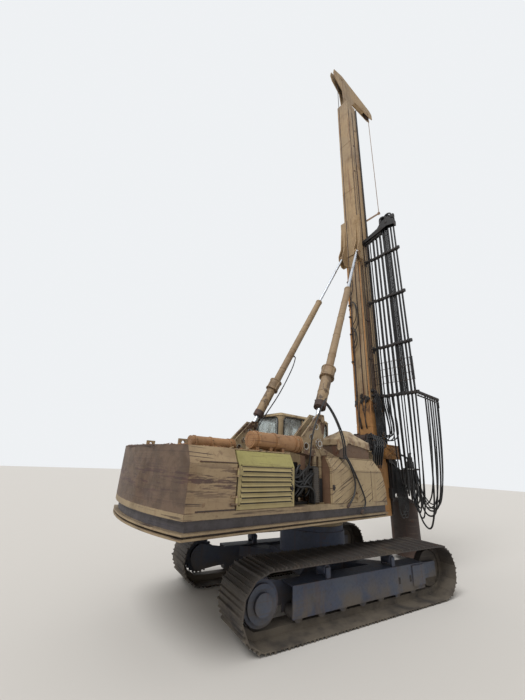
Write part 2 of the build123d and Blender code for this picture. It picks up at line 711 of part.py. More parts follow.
skirt = []
skirt_low = stay_top_z - 300
skirt_high = stay_top_z + 1700
skirt_outline = [(mast_rear, skirt_high), (mast_rear, skirt_low), (stay_top_x + 50, skirt_low), (stay_top_x - 80, stay_top_z - 80)]
skirt_outline = skirt_outline + [(stay_top_x - 80, stay_top_z + 100), (stay_top_x + 80, stay_top_z + 500)]
inner_lug = stay_top_y - 78
outer_lug = stay_top_y + 76
for side in (-1, 1):
    for near in (inner_lug, outer_lug):
        skirt.append(plate_xz(skirt_outline, *sorted((side * near, side * (near + lug_plate)))))
    skirt.append(rod_y(stay_top_x, stay_top_z, 60, *sorted((side * (outer_lug + lug_plate), side * (outer_lug + 44)))))
    skirt.append(block(mast_rear - 30, mast_rear, *sorted((side * 200, side * (outer_lug + lug_plate))), skirt_low, skirt_high))
skirt.append(block(mast_rear - 30, mast_rear, -210, 210, stay_top_z + 100, skirt_high))
save(joined(skirt), "stay_skirt")

# Winch on the back of the mast
winch_x = 2110.0
winch_z = 3010.0
winch = [rod_y(winch_x, winch_z, 120, -195, 195)]
for side in (-1, 1):
    winch.append(rod_y(winch_x, winch_z, 172, *sorted((side * 175, side * 195))))
    winch.append(plate_xz([(1990, 2900), (mast_rear, 2850), (mast_rear, 3220), (1990, 3120)], *sorted((side * 195, side * 225))))
save(joined(winch), "winch")

# Crown with two sheaves
crown = [block(mast_rear, mast_front, -mast_half, mast_half, mast_top, mast_top + 40)]
# Columns: place along the machine, drop below the top
crown_line = [(2860, 1650), (3300, 850), (4600, 600), (crown_reach, 450), (crown_reach - 20, 100), (4650, 0)]
crown_line = crown_line + [(2300, 100), (1700, 350), (1640, 650), (1750, 900), (2250, 1250)]
crown_side = [(mast_rear + 60, mast_top + 40), (mast_front - 40, mast_top + 40)] + [(x, crown_top - drop) for x, drop in crown_line]
for side in (-1, 1):
    crown.append(plate_xz(crown_side, *sorted((side * 70, side * 95))))
crown.append(block(mast_rear + 150, mast_front - 80, -80, 80, mast_top + 20, crown_top - 950))
crown.append(block(2560, 4100, -80, 80, crown_top - 170, crown_top - 130))
# Columns: place along the machine, drop below the top
crown_floor = [(2950, 1420), (3300, 820), (4100, 666), (4100, 636), (3290, 788), (2930, 1410)]
crown.append(plate_xz([(x, crown_top - drop) for x, drop in crown_floor], -80, 80))
sheave_places = [(rope_front - sheave_radius, crown_top - 450), (mast_rear - 60, crown_top - 400)]
sheaves = []
for x, z in sheave_places:
    crown.append(rod_y(x, z, 40, -110, 110))
    groove = rod_y(x, z, sheave_radius + 40, -rope_radius - 1, rope_radius + 1) - rod_y(x, z, sheave_radius - rope_radius - 1, -40, 40)
    wheel = rod_y(x, z, sheave_radius + 22, -28, 28) - groove - rod_y(x, z, 40 + pin_gap, -40, 40)
    sheaves.append(wheel)
save(joined(crown), "mast_crown")
save(group(sheaves), "rope_sheaves")

# Rope arm: a foot between the rails, a slanted tube and the taut rope from its eye up to the front sheave
rope_arm = [block(mast_front, mast_front + 60, -190, 190, rope_arm_z - 150, rope_arm_z + 150)]
rope_arm.append(rod_between((mast_front + 30, -130, rope_arm_z), (rope_front, 0, rope_tip_z), 36))
rope_arm.append(rod_y(rope_front, rope_tip_z, 60, -40, 40))
rope_arm.append(rod_z(rope_front, 0, rope_radius, rope_tip_z, sheave_places[0][1]))
save(joined(rope_arm), "rope_arm")

# Hanging hoses: a catenary's points, joined by tangent arcs
def hanging_points(start, end, tightness, runs):
    span = math.hypot(end[0] - start[0], end[1] - start[1])
    low, high = min(start[2], end[2]) - 4000, min(start[2], end[2]) - 5
    for _ in range(60):
        bottom = (low + high) / 2
        reach_a = tightness * math.acosh(1 + (start[2] - bottom) / tightness)
        reach_b = tightness * math.acosh(1 + (end[2] - bottom) / tightness)
        if reach_a + reach_b > span:
            low = bottom
        else:
            high = bottom
    length_a = tightness * math.sinh(reach_a / tightness)
    length_b = tightness * math.sinh(reach_b / tightness)
    points = []
    for step in range(runs + 1):
        s = -length_a + (length_a + length_b) * step / runs
        h = tightness * math.asinh(s / tightness)
        share = (h + reach_a) / (reach_a + reach_b)
        z = bottom + tightness * (math.cosh(h / tightness) - 1)
        points.append((start[0] + (end[0] - start[0]) * share, start[1] + (end[1] - start[1]) * share, z))
    return points


def hose(points, radius):
    radii = []
    for a, b, c in zip(points, points[1:], points[2:]):
        first = Vector(*b) - Vector(*a)
        second = Vector(*c) - Vector(*b)
        turn = math.radians(first.get_angle(second))
        radii.append(0.45 * min(first.length, second.length) / math.tan(turn / 2))
    path = FilletPolyline(*points, radius=radii)
    print("hose radii", [round(value) for value in radii], "length", round(path.length))
    return sweep(Plane(origin=path @ 0, z_dir=path % 0) * Circle(radius), path=path)


# Columns: start and end along the machine, end across it, radius at the lowest point
hose_ends = [
    (3150.0, 3830.0, -452.0, 178.0),
    (3450.0, 3960.0, -475.0, 164.0),
    (3750.0, 4090.0, -452.0, 158.0),
]
hose_routes = []
for start_x, end_x, end_y, tightness in hose_ends:
    start = (start_x, hose_arm_end + 30, hanger_z - 42)
    hose_routes.append(hanging_points(start, (end_x, end_y, gearbox_top + 40), tightness, 12))
for number, route in enumerate(hose_routes):
    save(hose(route, hose_radius), "hose_loop_" + str(number + 1))


# A fitting that continues a hose's end face into the piece that carries it
def fitting(end, neighbour, length):
    away = (Vector(*end) - Vector(*neighbour)).normalized()
    return rod_between(end, tuple(Vector(*end) + away * length), hose_radius + 4)


# Hose arms with the hoses they clamp, from the saddle down to the hanger
arm_levels = [9000.0, 7390.0, 5760.0, hanger_z]
bundle = []
for z in arm_levels:
    bundle.append(block(hose_x - 32, hose_x + 32, hose_arm_end, -mast_half, z - 32, z + 32))
    bundle.append(block(hose_x - 90, hose_x + 90, -mast_half - 16, -mast_half, z - 120, z + 120))
    bundle.append(plate_yz([(-mast_half, z - 30), (-mast_half, z - 110), (-470, z - 30)], hose_x - 12, hose_x + 12))
    bundle.append(rod_z(hose_x, hose_arm_end, 45, z - 40, z + 40))
# Columns: place across the machine, height above the mast's joint
saddle_line = [(-mast_half, 90), (-mast_half, 220), (-640, 560), (-1000, 740), (-1300, 760), (-1440, 640), (-1440, 180), (-900, 100)]
saddle_line = [(y, mast_split + rise) for y, rise in saddle_line]
bundle.append(plate_yz(saddle_line, hose_x - 90, hose_x + 90))
bundle.append(block(hose_x - 32, 4020, hose_arm_end, hose_arm_end + 60, hanger_z - 30, hanger_z + 30))
hose_ys = [-500.0, -640.0, -760.0, -900.0, -985.0, -1070.0, -1190.0, -1290.0, -1385.0]
for y in hose_ys:
    bundle.append(rod_z(hose_x, y, hose_radius, hanger_z - 20, mast_split + 200))
front_hose_x = hose_x + 68
front_hose_ys = [-570.0, -700.0, -830.0, -1030.0, -1130.0, -1240.0, -1340.0]
for y in front_hose_ys:
    bundle.append(rod_z(front_hose_x, y, hose_radius, hanger_z - 60, mast_split + 200))
    for z in arm_levels:
        bundle.append(block(hose_x + 30, front_hose_x + 34, y - 34, y + 34, z - 30, z + 30))
for route in hose_routes:
    bundle.append(fitting(route[0], route[1], 40))
save(joined(bundle), "hose_bundle")
pipes = []
for x, top in ((2420.0, 8800.0), (2500.0, 7300.0)):
    pipes.append(rod_z(x, -mast_half - 30, 14, 3900, top))
pipe_clamps = []
for z in (4100, 5400, 6700):
    pipe_clamps.append(block(2390, 2530, -mast_half - 46, -mast_half, z - 20, z + 20))
feed = rod_z(2470, mast_half + 60, 45, 4000, 6600) + rod_z(2470, mast_half + 60, 28, 6590, 7300)
feed = feed + block(2420, 2520, mast_half, mast_half + 110, 4000, 4080) + block(2420, 2520, mast_half, mast_half + 110, 7280, 7340)
save(group([joined(pipes + pipe_clamps), feed]), "mast_side_pipes")


# Stays: lower rod, barrels and upper rod on one slanted line
eye_half = 50.0
top_eye_half = 34.0
# Places along each stay as shares of its length
barrel_start = 0.045
collar_end = 0.198
barrel_end = 0.66
for side, name in ((1, "left"), (-1, "right")):
    lower_rod = rod_between(stay_point(side, 0.0), stay_point(side, barrel_start), lower_rod_radius)
    lower_rod = lower_rod + turned_pin(side, 80, eye_half)
    lower_rod = lower_rod - turned_pin(side, stay_pin_radius + pin_gap, eye_half + 20)
    save(lower_rod, "stay_lower_rod_" + name)
    barrel = rod_between(stay_point(side, barrel_start), stay_point(side, collar_end - 0.01), lower_barrel_radius)
    barrel = barrel + rod_between(stay_point(side, collar_end - 0.04), stay_point(side, collar_end), lower_barrel_radius + 38)
    barrel = barrel + rod_between(stay_point(side, collar_end - 0.01), stay_point(side, barrel_end), upper_barrel_radius)
    bore_start = stay_point(side, 0.40)
    barrel = barrel - rod_between(bore_start, stay_point(side, 0.72), upper_rod_radius + pin_gap)
    save(barrel, "stay_barrel_" + name)
    upper_rod = rod_between(stay_point(side, 0.56), stay_point(side, 1.0), upper_rod_radius)
    eye_y = side * stay_top_y
    upper_rod = upper_rod + rod_y(stay_top_x, stay_top_z, 72, eye_y - top_eye_half, eye_y + top_eye_half)
    top_pin = sorted((side * (stay_top_y - top_pin_inward), side * (stay_top_y + top_pin_outward)))
    upper_rod = upper_rod + rod_y(stay_top_x, stay_top_z, stay_pin_radius, *top_pin)
    save(upper_rod, "stay_upper_rod_" + name)

# Drill head: carriage on the rails, gearbox with motors, and the turning drive with its bucket
claw_gap = 0.5
web_front = 3640.0
slide_face = mast_front + rail_thickness + claw_gap
carriage = [block(slide_face, slide_face + 70, -345, 345, carriage_bottom, carriage_top)]
for z in (carriage_bottom, carriage_top - 260):
    for side in (-1, 1):
        y0, y1 = sorted((side * (rail_outer + claw_gap), side * 345))
        carriage.append(block(mast_front - 60, slide_face + 10, y0, y1, z, z + 260))
        y0, y1 = sorted((side * (mast_half + 8), side * 345))
        carriage.append(block(mast_front - 60, mast_front - claw_gap, y0, y1, z, z + 260))
web = [(slide_face + 60, 1620), (web_front, gearbox_bottom + 20), (web_front, gearbox_top - 20), (slide_face + 60, 2640)]
carriage.append(plate_xz(web, -260, -200))
carriage.append(plate_xz(web, 200, 260))
save(joined(carriage), "head_carriage")
gearbox = rod_z(head_axis, 0, 430, gearbox_bottom, gearbox_top)
gearbox = gearbox - rod_z(head_axis, 0, 150 + pin_gap, gearbox_bottom - 10, gearbox_top + 10)
gearbox = gearbox - block(3000, web_front, -270, 270, gearbox_bottom - 10, gearbox_top + 10)
gearbox = gearbox + block(3780, 4150, -520, -400, gearbox_top + 60, gearbox_top + 110)
gearbox = gearbox + block(3930, 4050, -440, -370, gearbox_bottom + 40, gearbox_top + 70)
for route in hose_routes:
    gearbox = gearbox + fitting(route[-1], route[-2], 40)
save(gearbox, "head_gearbox")
motors = []
for angle in (60, 180, 300):
    x = head_axis + 320 * math.cos(math.radians(angle))
    y = 320 * math.sin(math.radians(angle))
    motor = rod_z(x, y, 105, gearbox_top, gearbox_top + 300) + rod_z(x, y, 78, gearbox_top + 290, gearbox_top + 430)
    motors.append(motor)
save(group(motors), "head_motors")
shaft = rod_z(head_axis, 0, 150, barrel_top + 130, gearbox_top + 60)
shaft = shaft + rod_z(head_axis, 0, 200, gearbox_top + 8, gearbox_top + 60)
save(shaft, "head_shaft")
rim_radius = barrel_radius + barrel_rim
barrel = rod_z(head_axis, 0, barrel_radius, barrel_bottom, barrel_top)
barrel = barrel + rod_z(head_axis, 0, rim_radius, barrel_top - 10, barrel_top + 20)
barrel = barrel - rod_z(head_axis, 0, barrel_radius - barrel_wall, barrel_bottom - 10, barrel_top - 40)
barrel = barrel + Pos(head_axis, 0, barrel_top + 75) * Cone(barrel_radius + 5, 160, 110)
save(barrel, "core_barrel")
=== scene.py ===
import bpy
import bmesh
import math
import random
from mathutils import Matrix, Vector


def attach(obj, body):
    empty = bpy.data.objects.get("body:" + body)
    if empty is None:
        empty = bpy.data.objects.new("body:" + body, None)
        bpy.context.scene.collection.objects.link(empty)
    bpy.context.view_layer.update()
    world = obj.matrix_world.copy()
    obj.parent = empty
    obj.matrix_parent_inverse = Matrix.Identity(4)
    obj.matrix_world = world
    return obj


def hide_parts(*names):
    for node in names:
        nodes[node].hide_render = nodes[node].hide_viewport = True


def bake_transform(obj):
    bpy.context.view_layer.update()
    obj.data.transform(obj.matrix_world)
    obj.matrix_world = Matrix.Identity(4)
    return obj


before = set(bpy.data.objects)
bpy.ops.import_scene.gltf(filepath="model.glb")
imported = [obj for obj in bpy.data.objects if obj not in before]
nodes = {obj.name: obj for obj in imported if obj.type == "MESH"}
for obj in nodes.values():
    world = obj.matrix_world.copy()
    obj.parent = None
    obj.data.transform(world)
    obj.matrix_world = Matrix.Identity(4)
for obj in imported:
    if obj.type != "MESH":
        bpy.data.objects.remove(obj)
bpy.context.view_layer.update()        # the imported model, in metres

print("frame loaded", len(nodes), "nodes")

# the drawing measures in millimetres from the slew axis, which stands 475 mm behind the frame's origin
slewBehind = 475
parkedTurn = math.radians(-9)


def at(x, y, z):
    return Vector(((x - slewBehind) / 1000, y / 1000, z / 1000))


def onCrawler(x, y, z):
    turned = Matrix.Rotation(parkedTurn, 3, "Z") @ Vector((x, y, z))
    return at(*turned)


def newObject(name, data):
    made = bpy.data.objects.new(name, data)
    bpy.context.scene.collection.objects.link(made)
    return made


def evaluatedMesh(piece):
    # what a piece's modifiers make of it at this moment
    bpy.context.view_layer.update()
    graph = bpy.context.evaluated_depsgraph_get()
    return bpy.data.meshes.new_from_object(piece.evaluated_get(graph), depsgraph=graph)


# camera, floor and light
cameraLook = {
    "place": (-6.032, -4.845, 2.28), "aim": (0.6334, 0.7738), "pitch": 20.6, "roll": 2.9, "lens": 15.485,
}


def setCamera():
    pitch = math.radians(cameraLook["pitch"])
    roll = math.radians(cameraLook["roll"])
    aimX, aimY = cameraLook["aim"]
    level = Vector((aimY, -aimX, 0))
    ahead = Vector((math.cos(pitch) * aimX, math.cos(pitch) * aimY, math.sin(pitch)))
    over = Vector((-math.sin(pitch) * aimX, -math.sin(pitch) * aimY, math.cos(pitch)))
    right = math.cos(roll) * level + math.sin(roll) * over
    up = -math.sin(roll) * level + math.cos(roll) * over
    camera = bpy.data.cameras.new("rigCamera")
    camera.lens = cameraLook["lens"]
    camera.sensor_width = 36
    camera.clip_end = 500
    holder = newObject("rigCamera", camera)
    turned = Matrix((right, up, -ahead)).transposed().to_4x4()
    holder.matrix_world = Matrix.Translation(cameraLook["place"]) @ turned
    bpy.context.scene.camera = holder


lightLook = {
    "sky": 0.62, "seenSky": (0.86, 0.88, 0.9), "sunPower": 1.9, "sunSoftness": 0.5, "sunTurn": (38, -8, -62),
    "floor": (0.62, 0.6, 0.57), "floorHalf": 60,
}


def setLight():
    world = bpy.data.worlds.new("paleSky")
    bpy.context.scene.world = world
    world.use_nodes = True
    tree = world.node_tree
    tree.nodes.clear()
    output = tree.nodes.new("ShaderNodeOutputWorld")
    lit = tree.nodes.new("ShaderNodeBackground")
    seen = tree.nodes.new("ShaderNodeBackground")
    lit.inputs["Color"].default_value = (1, 0.98, 0.95, 1)
    lit.inputs["Strength"].default_value = lightLook["sky"]
    seen.inputs["Color"].default_value = (*lightLook["seenSky"], 1)
    path = tree.nodes.new("ShaderNodeLightPath")
    either = tree.nodes.new("ShaderNodeMath")
    either.operation = "MAXIMUM"
    also = tree.nodes.new("ShaderNodeMath")
    also.operation = "MAXIMUM"
    tree.links.new(path.outputs["Is Camera Ray"], either.inputs[0])
    tree.links.new(path.outputs["Is Glossy Ray"], either.inputs[1])
    tree.links.new(either.outputs[0], also.inputs[0])
    tree.links.new(path.outputs["Is Transmission Ray"], also.inputs[1])
    mixer = tree.nodes.new("ShaderNodeMixShader")
    tree.links.new(also.outputs[0], mixer.inputs[0])
    tree.links.new(lit.outputs[0], mixer.inputs[1])
    tree.links.new(seen.outputs[0], mixer.inputs[2])
    tree.links.new(mixer.outputs[0], output.inputs[0])
    sun = bpy.data.lights.new("softSun", "SUN")
    sun.energy = lightLook["sunPower"]
    sun.angle = lightLook["sunSoftness"]
    lamp = newObject("softSun", sun)
    lamp.rotation_euler = [math.radians(value) for value in lightLook["sunTurn"]]


def setFloor():
    half = lightLook["floorHalf"]
    mesh = bpy.data.meshes.new("floor")
    corners = [(-half, -half, 0), (half, -half, 0), (half, half, 0), (-half, half, 0)]
    mesh.from_pydata(corners, [], [(0, 1, 2, 3)])
    floor = newObject("floor", mesh)
    material = bpy.data.materials.new("paleFloor")
    material.use_nodes = True
    shader = material.node_tree.nodes["Principled BSDF"]
    shader.inputs["Base Color"].default_value = (*lightLook["floor"], 1)
    shader.inputs["Roughness"].default_value = 0.9
    mesh.materials.append(material)


setCamera()
setLight()
setFloor()
bpy.context.scene.view_settings.view_transform = "Standard"
print("camera, floor and light set")


# finishes
def tone(red, green, blue):
    def linear(value):
        share = value / 255
        return share / 12.92 if share <= 0.04045 else ((share + 0.055) / 1.055) ** 2.4
    return (linear(red), linear(green), linear(blue), 1)


def startMaterial(name, roughness=0.6, metallic=0.0):
    material = bpy.data.materials.new(name)
    material.use_nodes = True
    tree = material.node_tree
    shader = tree.nodes["Principled BSDF"]
    shader.inputs["Roughness"].default_value = roughness
    shader.inputs["Metallic"].default_value = metallic
    place = tree.nodes.new("ShaderNodeTexCoord").outputs["Object"]
    return material, tree, shader, place


def noiseOn(tree, place, scale, stretch=(1, 1, 1), turn=(0, 0, 0), detail=4.0, rough=0.55, shift=0.0):
    mapping = tree.nodes.new("ShaderNodeMapping")
    mapping.vector_type = "TEXTURE"
    mapping.inputs["Scale"].default_value = tuple(1 / value for value in stretch)
    mapping.inputs["Rotation"].default_value = turn
    mapping.inputs["Location"].default_value = (shift, shift * 0.7, shift * 1.3)
    noise = tree.nodes.new("ShaderNodeTexNoise")
    noise.inputs["Scale"].default_value = scale
    noise.inputs["Detail"].default_value = detail
    noise.inputs["Roughness"].default_value = rough
    tree.links.new(place, mapping.inputs["Vector"])
    tree.links.new(mapping.outputs["Vector"], noise.inputs["Vector"])
    return noise.outputs["Fac"]


def stepOf(tree, value, low, high):
    step = tree.nodes.new("ShaderNodeMapRange")
    step.interpolation_type = "SMOOTHSTEP"
    step.inputs["From Min"].default_value = low
    step.inputs["From Max"].default_value = high
    tree.links.new(value, step.inputs["Value"])
    return step.outputs["Result"]


def combine(tree, kind, first, second):
    maths = tree.nodes.new("ShaderNodeMath")
    maths.operation = kind
    maths.use_clamp = True
    for slot, value in zip(maths.inputs, (first, second)):
        if isinstance(value, (int, float)):
            slot.default_value = value
        else:
            tree.links.new(value, slot)
    return maths.outputs[0]


def mixColour(tree, share, first, second):
    mixer = tree.nodes.new("ShaderNodeMix")
    mixer.data_type = "RGBA"
    slots = [s for s in mixer.inputs if s.type == "RGBA"]
    shareSlot = mixer.inputs[0]
    if isinstance(share, (int, float)):
        shareSlot.default_value = share
    else:
        tree.links.new(share, shareSlot)
    for slot, value in zip(slots, (first, second)):
        if isinstance(value, tuple):
            slot.default_value = value
        else:
            tree.links.new(value, slot)
    return [s for s in mixer.outputs if s.type == "RGBA"][0]


def addBump(tree, shader, height, strength, distance):
    bump = tree.nodes.new("ShaderNodeBump")
    bump.inputs["Strength"].default_value = strength
    bump.inputs["Distance"].default_value = distance
    tree.links.new(height, bump.inputs["Height"])
    tree.links.new(bump.outputs["Normal"], shader.inputs["Normal"])


def setGloss(tree, shader, share, smooth, rough):
    gloss = tree.nodes.new("ShaderNodeMapRange")
    gloss.inputs["To Min"].default_value = smooth
    gloss.inputs["To Max"].default_value = rough
    tree.links.new(share, gloss.inputs["Value"])
    tree.links.new(gloss.outputs["Result"], shader.inputs["Roughness"])


def layer(tree, colour, share, amount, over):
    return mixColour(tree, combine(tree, "MULTIPLY", share, amount), colour, over)


def wornEdges(tree, radius):
    bevel = tree.nodes.new("ShaderNodeBevel")
    bevel.samples = 4
    bevel.inputs["Radius"].default_value = radius
    surface = tree.nodes.new("ShaderNodeNewGeometry")
    dot = tree.nodes.new("ShaderNodeVectorMath")
    dot.operation = "DOT_PRODUCT"
    tree.links.new(bevel.outputs["Normal"], dot.inputs[0])
    tree.links.new(surface.outputs["Normal"], dot.inputs[1])
    return combine(tree, "SUBTRACT", 1.0, dot.outputs["Value"])


def axisOf(tree, place, axis):
    parts = tree.nodes.new("ShaderNodeSeparateXYZ")
    tree.links.new(place, parts.inputs[0])
    return parts.outputs[axis]


def wornPaint(name, look):
    material, tree, shader, place = startMaterial(name)

    def spots(scale, low, high, **options):
        return stepOf(tree, noiseOn(tree, place, scale, **options), low, high)

    colour = mixColour(tree, spots(0.7, 0.38, 0.62, detail=3), look["paint"], look["faded"])
    speckle = noiseOn(tree, place, 26, detail=5, shift=2.0)
    colour = layer(tree, colour, stepOf(tree, speckle, 0.52, 0.66), 0.16, look["grime"])
    patches = spots(1.5, 0.5, 0.68, detail=7, rough=0.6, shift=3.7)
    colour = layer(tree, colour, patches, look["dirty"], look["grime"])
    runs = spots(1.0, 0.55, 0.7, stretch=(9, 9, 0.55), detail=5, shift=5.1)
    colour = layer(tree, colour, runs, look["runs"], look["rust"])
    # long scratches in some zones
    turn = tuple(math.radians(value) for value in look.get("scratchTurn", (0, 0, 0)))
    stretch = look.get("scratchStretch", (1.1, 1.1, 46))
    zoneFrom = look.get("scratchFrom", 0.47)
    lines = spots(1.0, 0.565, 0.61, stretch=stretch, turn=turn, detail=3, rough=0.55, shift=1.3)
    zone = spots(1.3, zoneFrom, zoneFrom + 0.08, detail=2, shift=8.3)
    marks = combine(tree, "MULTIPLY", combine(tree, "MULTIPLY", lines, zone), look["scratched"])
    colour = mixColour(tree, marks, colour, look["scratch"])
    # chipped edges and spots of rust
    edges = stepOf(tree, wornEdges(tree, edgeRadius), 0.02, 0.12)
    chips = combine(tree, "MULTIPLY", edges, spots(9, 0.42, 0.58, detail=6, rough=0.7, shift=4.4))
    rusted = spots(5.5, 0.6, 0.66, detail=9, rough=0.72, shift=9.2)
    rustSpots = combine(tree, "MULTIPLY", rusted, look["rusty"])
    rust = mixColour(tree, spots(40, 0.4, 0.6, detail=4), look["rust"], tone(58, 36, 26))
    chipped = combine(tree, "MULTIPLY", chips, look.get("chipped", 0.85))
    colour = mixColour(tree, combine(tree, "MAXIMUM", chipped, rustSpots), colour, rust)
    if "foot" in look:
        low, high, dust = look["foot"]
        height = combine(tree, "SUBTRACT", 1.0, stepOf(tree, axisOf(tree, place, 2), low, high))
        dusty = combine(tree, "MULTIPLY", height, spots(3.2, 0.3, 0.62, detail=7, shift=6.6))
        colour = mixColour(tree, dusty, colour, dust)
    tree.links.new(colour, shader.inputs["Base Color"])
    rough = combine(tree, "MAXIMUM", combine(tree, "MAXIMUM", patches, rustSpots), speckle)
    setGloss(tree, shader, rough, look.get("gloss", 0.42), 0.88)
    dents = combine(tree, "MULTIPLY", noiseOn(tree, place, 1.7, detail=2, shift=7.7), 0.7)
    scars = combine(tree, "ADD", rustSpots, combine(tree, "MULTIPLY", marks, 0.3))
    addBump(tree, shader, combine(tree, "ADD", dents, combine(tree, "MULTIPLY", scars, 0.12)), 0.55, 0.03)
    return material


# colours of the paint, the faded paint, the grime, the rust and the scratches,
# then how dirty, streaked, scratched and rusty it is, then what else differs
paintLooks = {
    "tan_paint": (
        ((160, 141, 108), (147, 128, 99), (96, 78, 58), (104, 62, 40), (66, 46, 36)), (0.3, 0.22, 0.85, 0.4),
        {"scratchTurn": (0, -24, 0), "scratchFrom": 0.44},
    ),
    "olive_paint": (
        ((156, 149, 92), (147, 138, 90), (92, 84, 56), (96, 66, 40), (84, 70, 46)), (0.3, 0.25, 0.3, 0.3),
        {},
    ),
    "tail_paint": (
        ((158, 137, 106), (142, 121, 94), (94, 75, 58), (100, 62, 42), (52, 38, 36)), (0.35, 0.15, 1.0, 0.4),
        {"scratchTurn": (0, 3, 0), "scratchStretch": (0.45, 0.45, 38), "scratchFrom": 0.38},
    ),
    "mast_paint": (
        ((163, 137, 101), (152, 131, 102), (104, 80, 56), (112, 68, 38), (84, 58, 40)),
        (0.35, 0.6, 0.5, 0.45),
        {"scratchStretch": (26, 26, 0.5)},
    ),
    "ochre_paint": (
        ((146, 102, 48), (126, 88, 46), (60, 44, 32), (92, 54, 30), (60, 42, 28)), (0.6, 0.5, 0.5, 0.7),
        {},
    ),
    "crawler_paint": (
        ((58, 67, 88), (70, 77, 92), (62, 58, 54), (84, 56, 42), (74, 66, 60)), (0.65, 0.35, 0.4, 0.45),
        {"foot": (0.1, 0.75, tone(92, 84, 74))},
    ),
    "brown_paint": (
        ((150, 118, 86), (134, 104, 78), (84, 64, 50), (104, 62, 40), (72, 50, 38)), (0.5, 0.35, 0.4, 0.6),
        {},
    ),
    "dark_paint": (
        ((23, 23, 25), (32, 30, 30), (46, 40, 35), (78, 52, 38), (66, 58, 50)), (0.5, 0.25, 0.3, 0.35),
        {},
    ),
    "frame_paint": (
        ((152, 134, 104), (136, 118, 92), (80, 66, 54), (98, 60, 42), (62, 46, 38)), (0.5, 0.2, 0.8, 0.5),
        {},
    ),
    "rusty_steel": (
        ((66, 50, 43), (54, 44, 40), (46, 40, 38), (96, 58, 40), (92, 78, 68)), (0.6, 0.5, 0.4, 0.9),
        {"gloss": 0.6},
    ),
    "track_steel": (
        ((58, 54, 50), (50, 46, 44), (78, 70, 60), (82, 58, 44), (88, 80, 72)), (0.85, 0.1, 0.3, 0.6),
        {"gloss": 0.62, "chipped": 0.4, "foot": (0.0, 0.9, tone(96, 88, 77))},
    ),
    "strutOrange": (
        ((158, 118, 80), (142, 108, 76), (98, 70, 50), (110, 64, 40), (80, 54, 40)), (0.35, 0.3, 0.5, 0.4),
        {},
    ),
    "deckBrown": (
        ((104, 80, 60), (92, 72, 56), (58, 46, 38), (92, 54, 34), (50, 38, 32)), (0.7, 0.6, 0.6, 0.9),
        {},
    ),
    # bright orange for the mast's sunlit rear edge: a painted highlight
    "mastEdgeHighlight": (
        ((186, 134, 76), (170, 122, 74), (108, 78, 50), (118, 70, 38), (84, 58, 40)), (0.3, 0.4, 0.4, 0.4),
        {},
    ),
    "stayTan": (
        ((150, 128, 98), (138, 117, 91), (104, 82, 60), (112, 68, 42), (84, 62, 46)), (0.3, 0.3, 0.4, 0.35),
        {},
    ),
}
lookColours = ("paint", "faded", "grime", "rust", "scratch")
lookShares = ("dirty", "runs", "scratched", "rusty")
edgeRadius = 0.014
finishes = {}
for slotName, (colours, amounts, others) in paintLooks.items():
    look = {key: tone(*value) for key, value in zip(lookColours, colours)}
    look.update(zip(lookShares, amounts))
    look.update(others)
    finishes[slotName] = wornPaint(slotName.replace("_p", "P").replace("_s", "S"), look)


def zonePaint(base, name, zoneFrom, low, high, other, soft=0.006, more=None, lift=1.5):
    # a copy of a worn paint that turns to another colour between two heights or places
    material = base.copy()
    material.name = name
    tree = material.node_tree
    shader = tree.nodes["Principled BSDF"]
    place = [n for n in tree.nodes if n.type == "TEX_COORD"][0].outputs["Object"]
    value = axisOf(tree, place, zoneFrom)
    past = combine(tree, "SUBTRACT", 1.0, stepOf(tree, value, high - soft, high + soft))
    inside = combine(tree, "MULTIPLY", stepOf(tree, value, low - soft, low + soft), past)
    if more:
        inside = combine(tree, "MULTIPLY", inside, more(tree, place))
    was = shader.inputs["Base Color"].links[0].from_socket
    blotch = noiseOn(tree, place, 6, detail=6, shift=12.0)
    lifted = tuple(value * lift for value in other[:3]) + (1,)
    varied = mixColour(tree, stepOf(tree, blotch, 0.4, 0.62), other, lifted)
    tree.links.new(layer(tree, was, inside, 0.93, varied), shader.inputs["Base Color"])
    return material


def patchy(scale, low, high, stretch=(1, 1, 1)):
    def share(tree, place):
        patches = noiseOn(tree, place, scale, stretch=stretch, detail=7, rough=0.7, shift=15.0)
        return stepOf(tree, patches, low, high)
    return share


# finish, the one that it is made from, name, axis, from, to in metres, the colour there and what else differs
zones = [
    # the counterweight's rear face, behind x -4.174 m, is painted darker than its sides: painted shade
    ("tail", "tail_paint", "tailPaint", 0, -9.0, -4.174, (76, 60, 49), {"soft": 0.004}),
    # the dark slot and band along the sill are painted shade of the sill's recess
    ("sill", "frame_paint", "sillSlotShade", 2, 1.433, 1.453, (56, 54, 60), {}),
    ("sill", "sill", "sillPaint", 2, 1.483, 1.609, (56, 54, 60), {}),
    ("louvre", "olive_paint", "louvrePaint", 2, 1.0, 2.236, (158, 143, 102), {"lift": 0.9}),
    ("frontBox", "tan_paint", "frontBoxPaint", 0, -9.0, -1.402, (92, 66, 50), {"lift": 1.25}),
    ("mastFoot", "mast_paint", "mastFootPaint", 2, -1.0, 4.12, (166, 120, 70), {"soft": 0.03, "lift": 0.82}),
    ("mastFoot", "mastFoot", "mastFootRust", 2, 3.75, 4.75, (58, 38, 28),
        {"soft": 0.3, "more": patchy(3.4, 0.5, 0.58)}),
    ("tail", "tail", "tailStreaks", 2, 1.86, 2.2, (66, 48, 44),
        {"soft": 0.12, "more": patchy(1.5, 0.5, 0.56, (1, 1, 11))}),
    ("stayTan", "stayTan", "stayGrease", 2, -1.0, 4.1, (58, 44, 34),
        {"soft": 0.55, "more": patchy(5.0, 0.46, 0.56, (1, 1, 0.5))}),
    ("bracketRust", "frame_paint", "bracketRust", 2, -1.0, 9.0, (74, 52, 38),
        {"soft": 0.1, "more": patchy(2.6, 0.49, 0.56)}),
]
for slotName, base, name, axis, low, high, colour, others in zones:
    finishes[slotName] = zonePaint(finishes[base], name, axis, low, high, tone(*colour), **others)


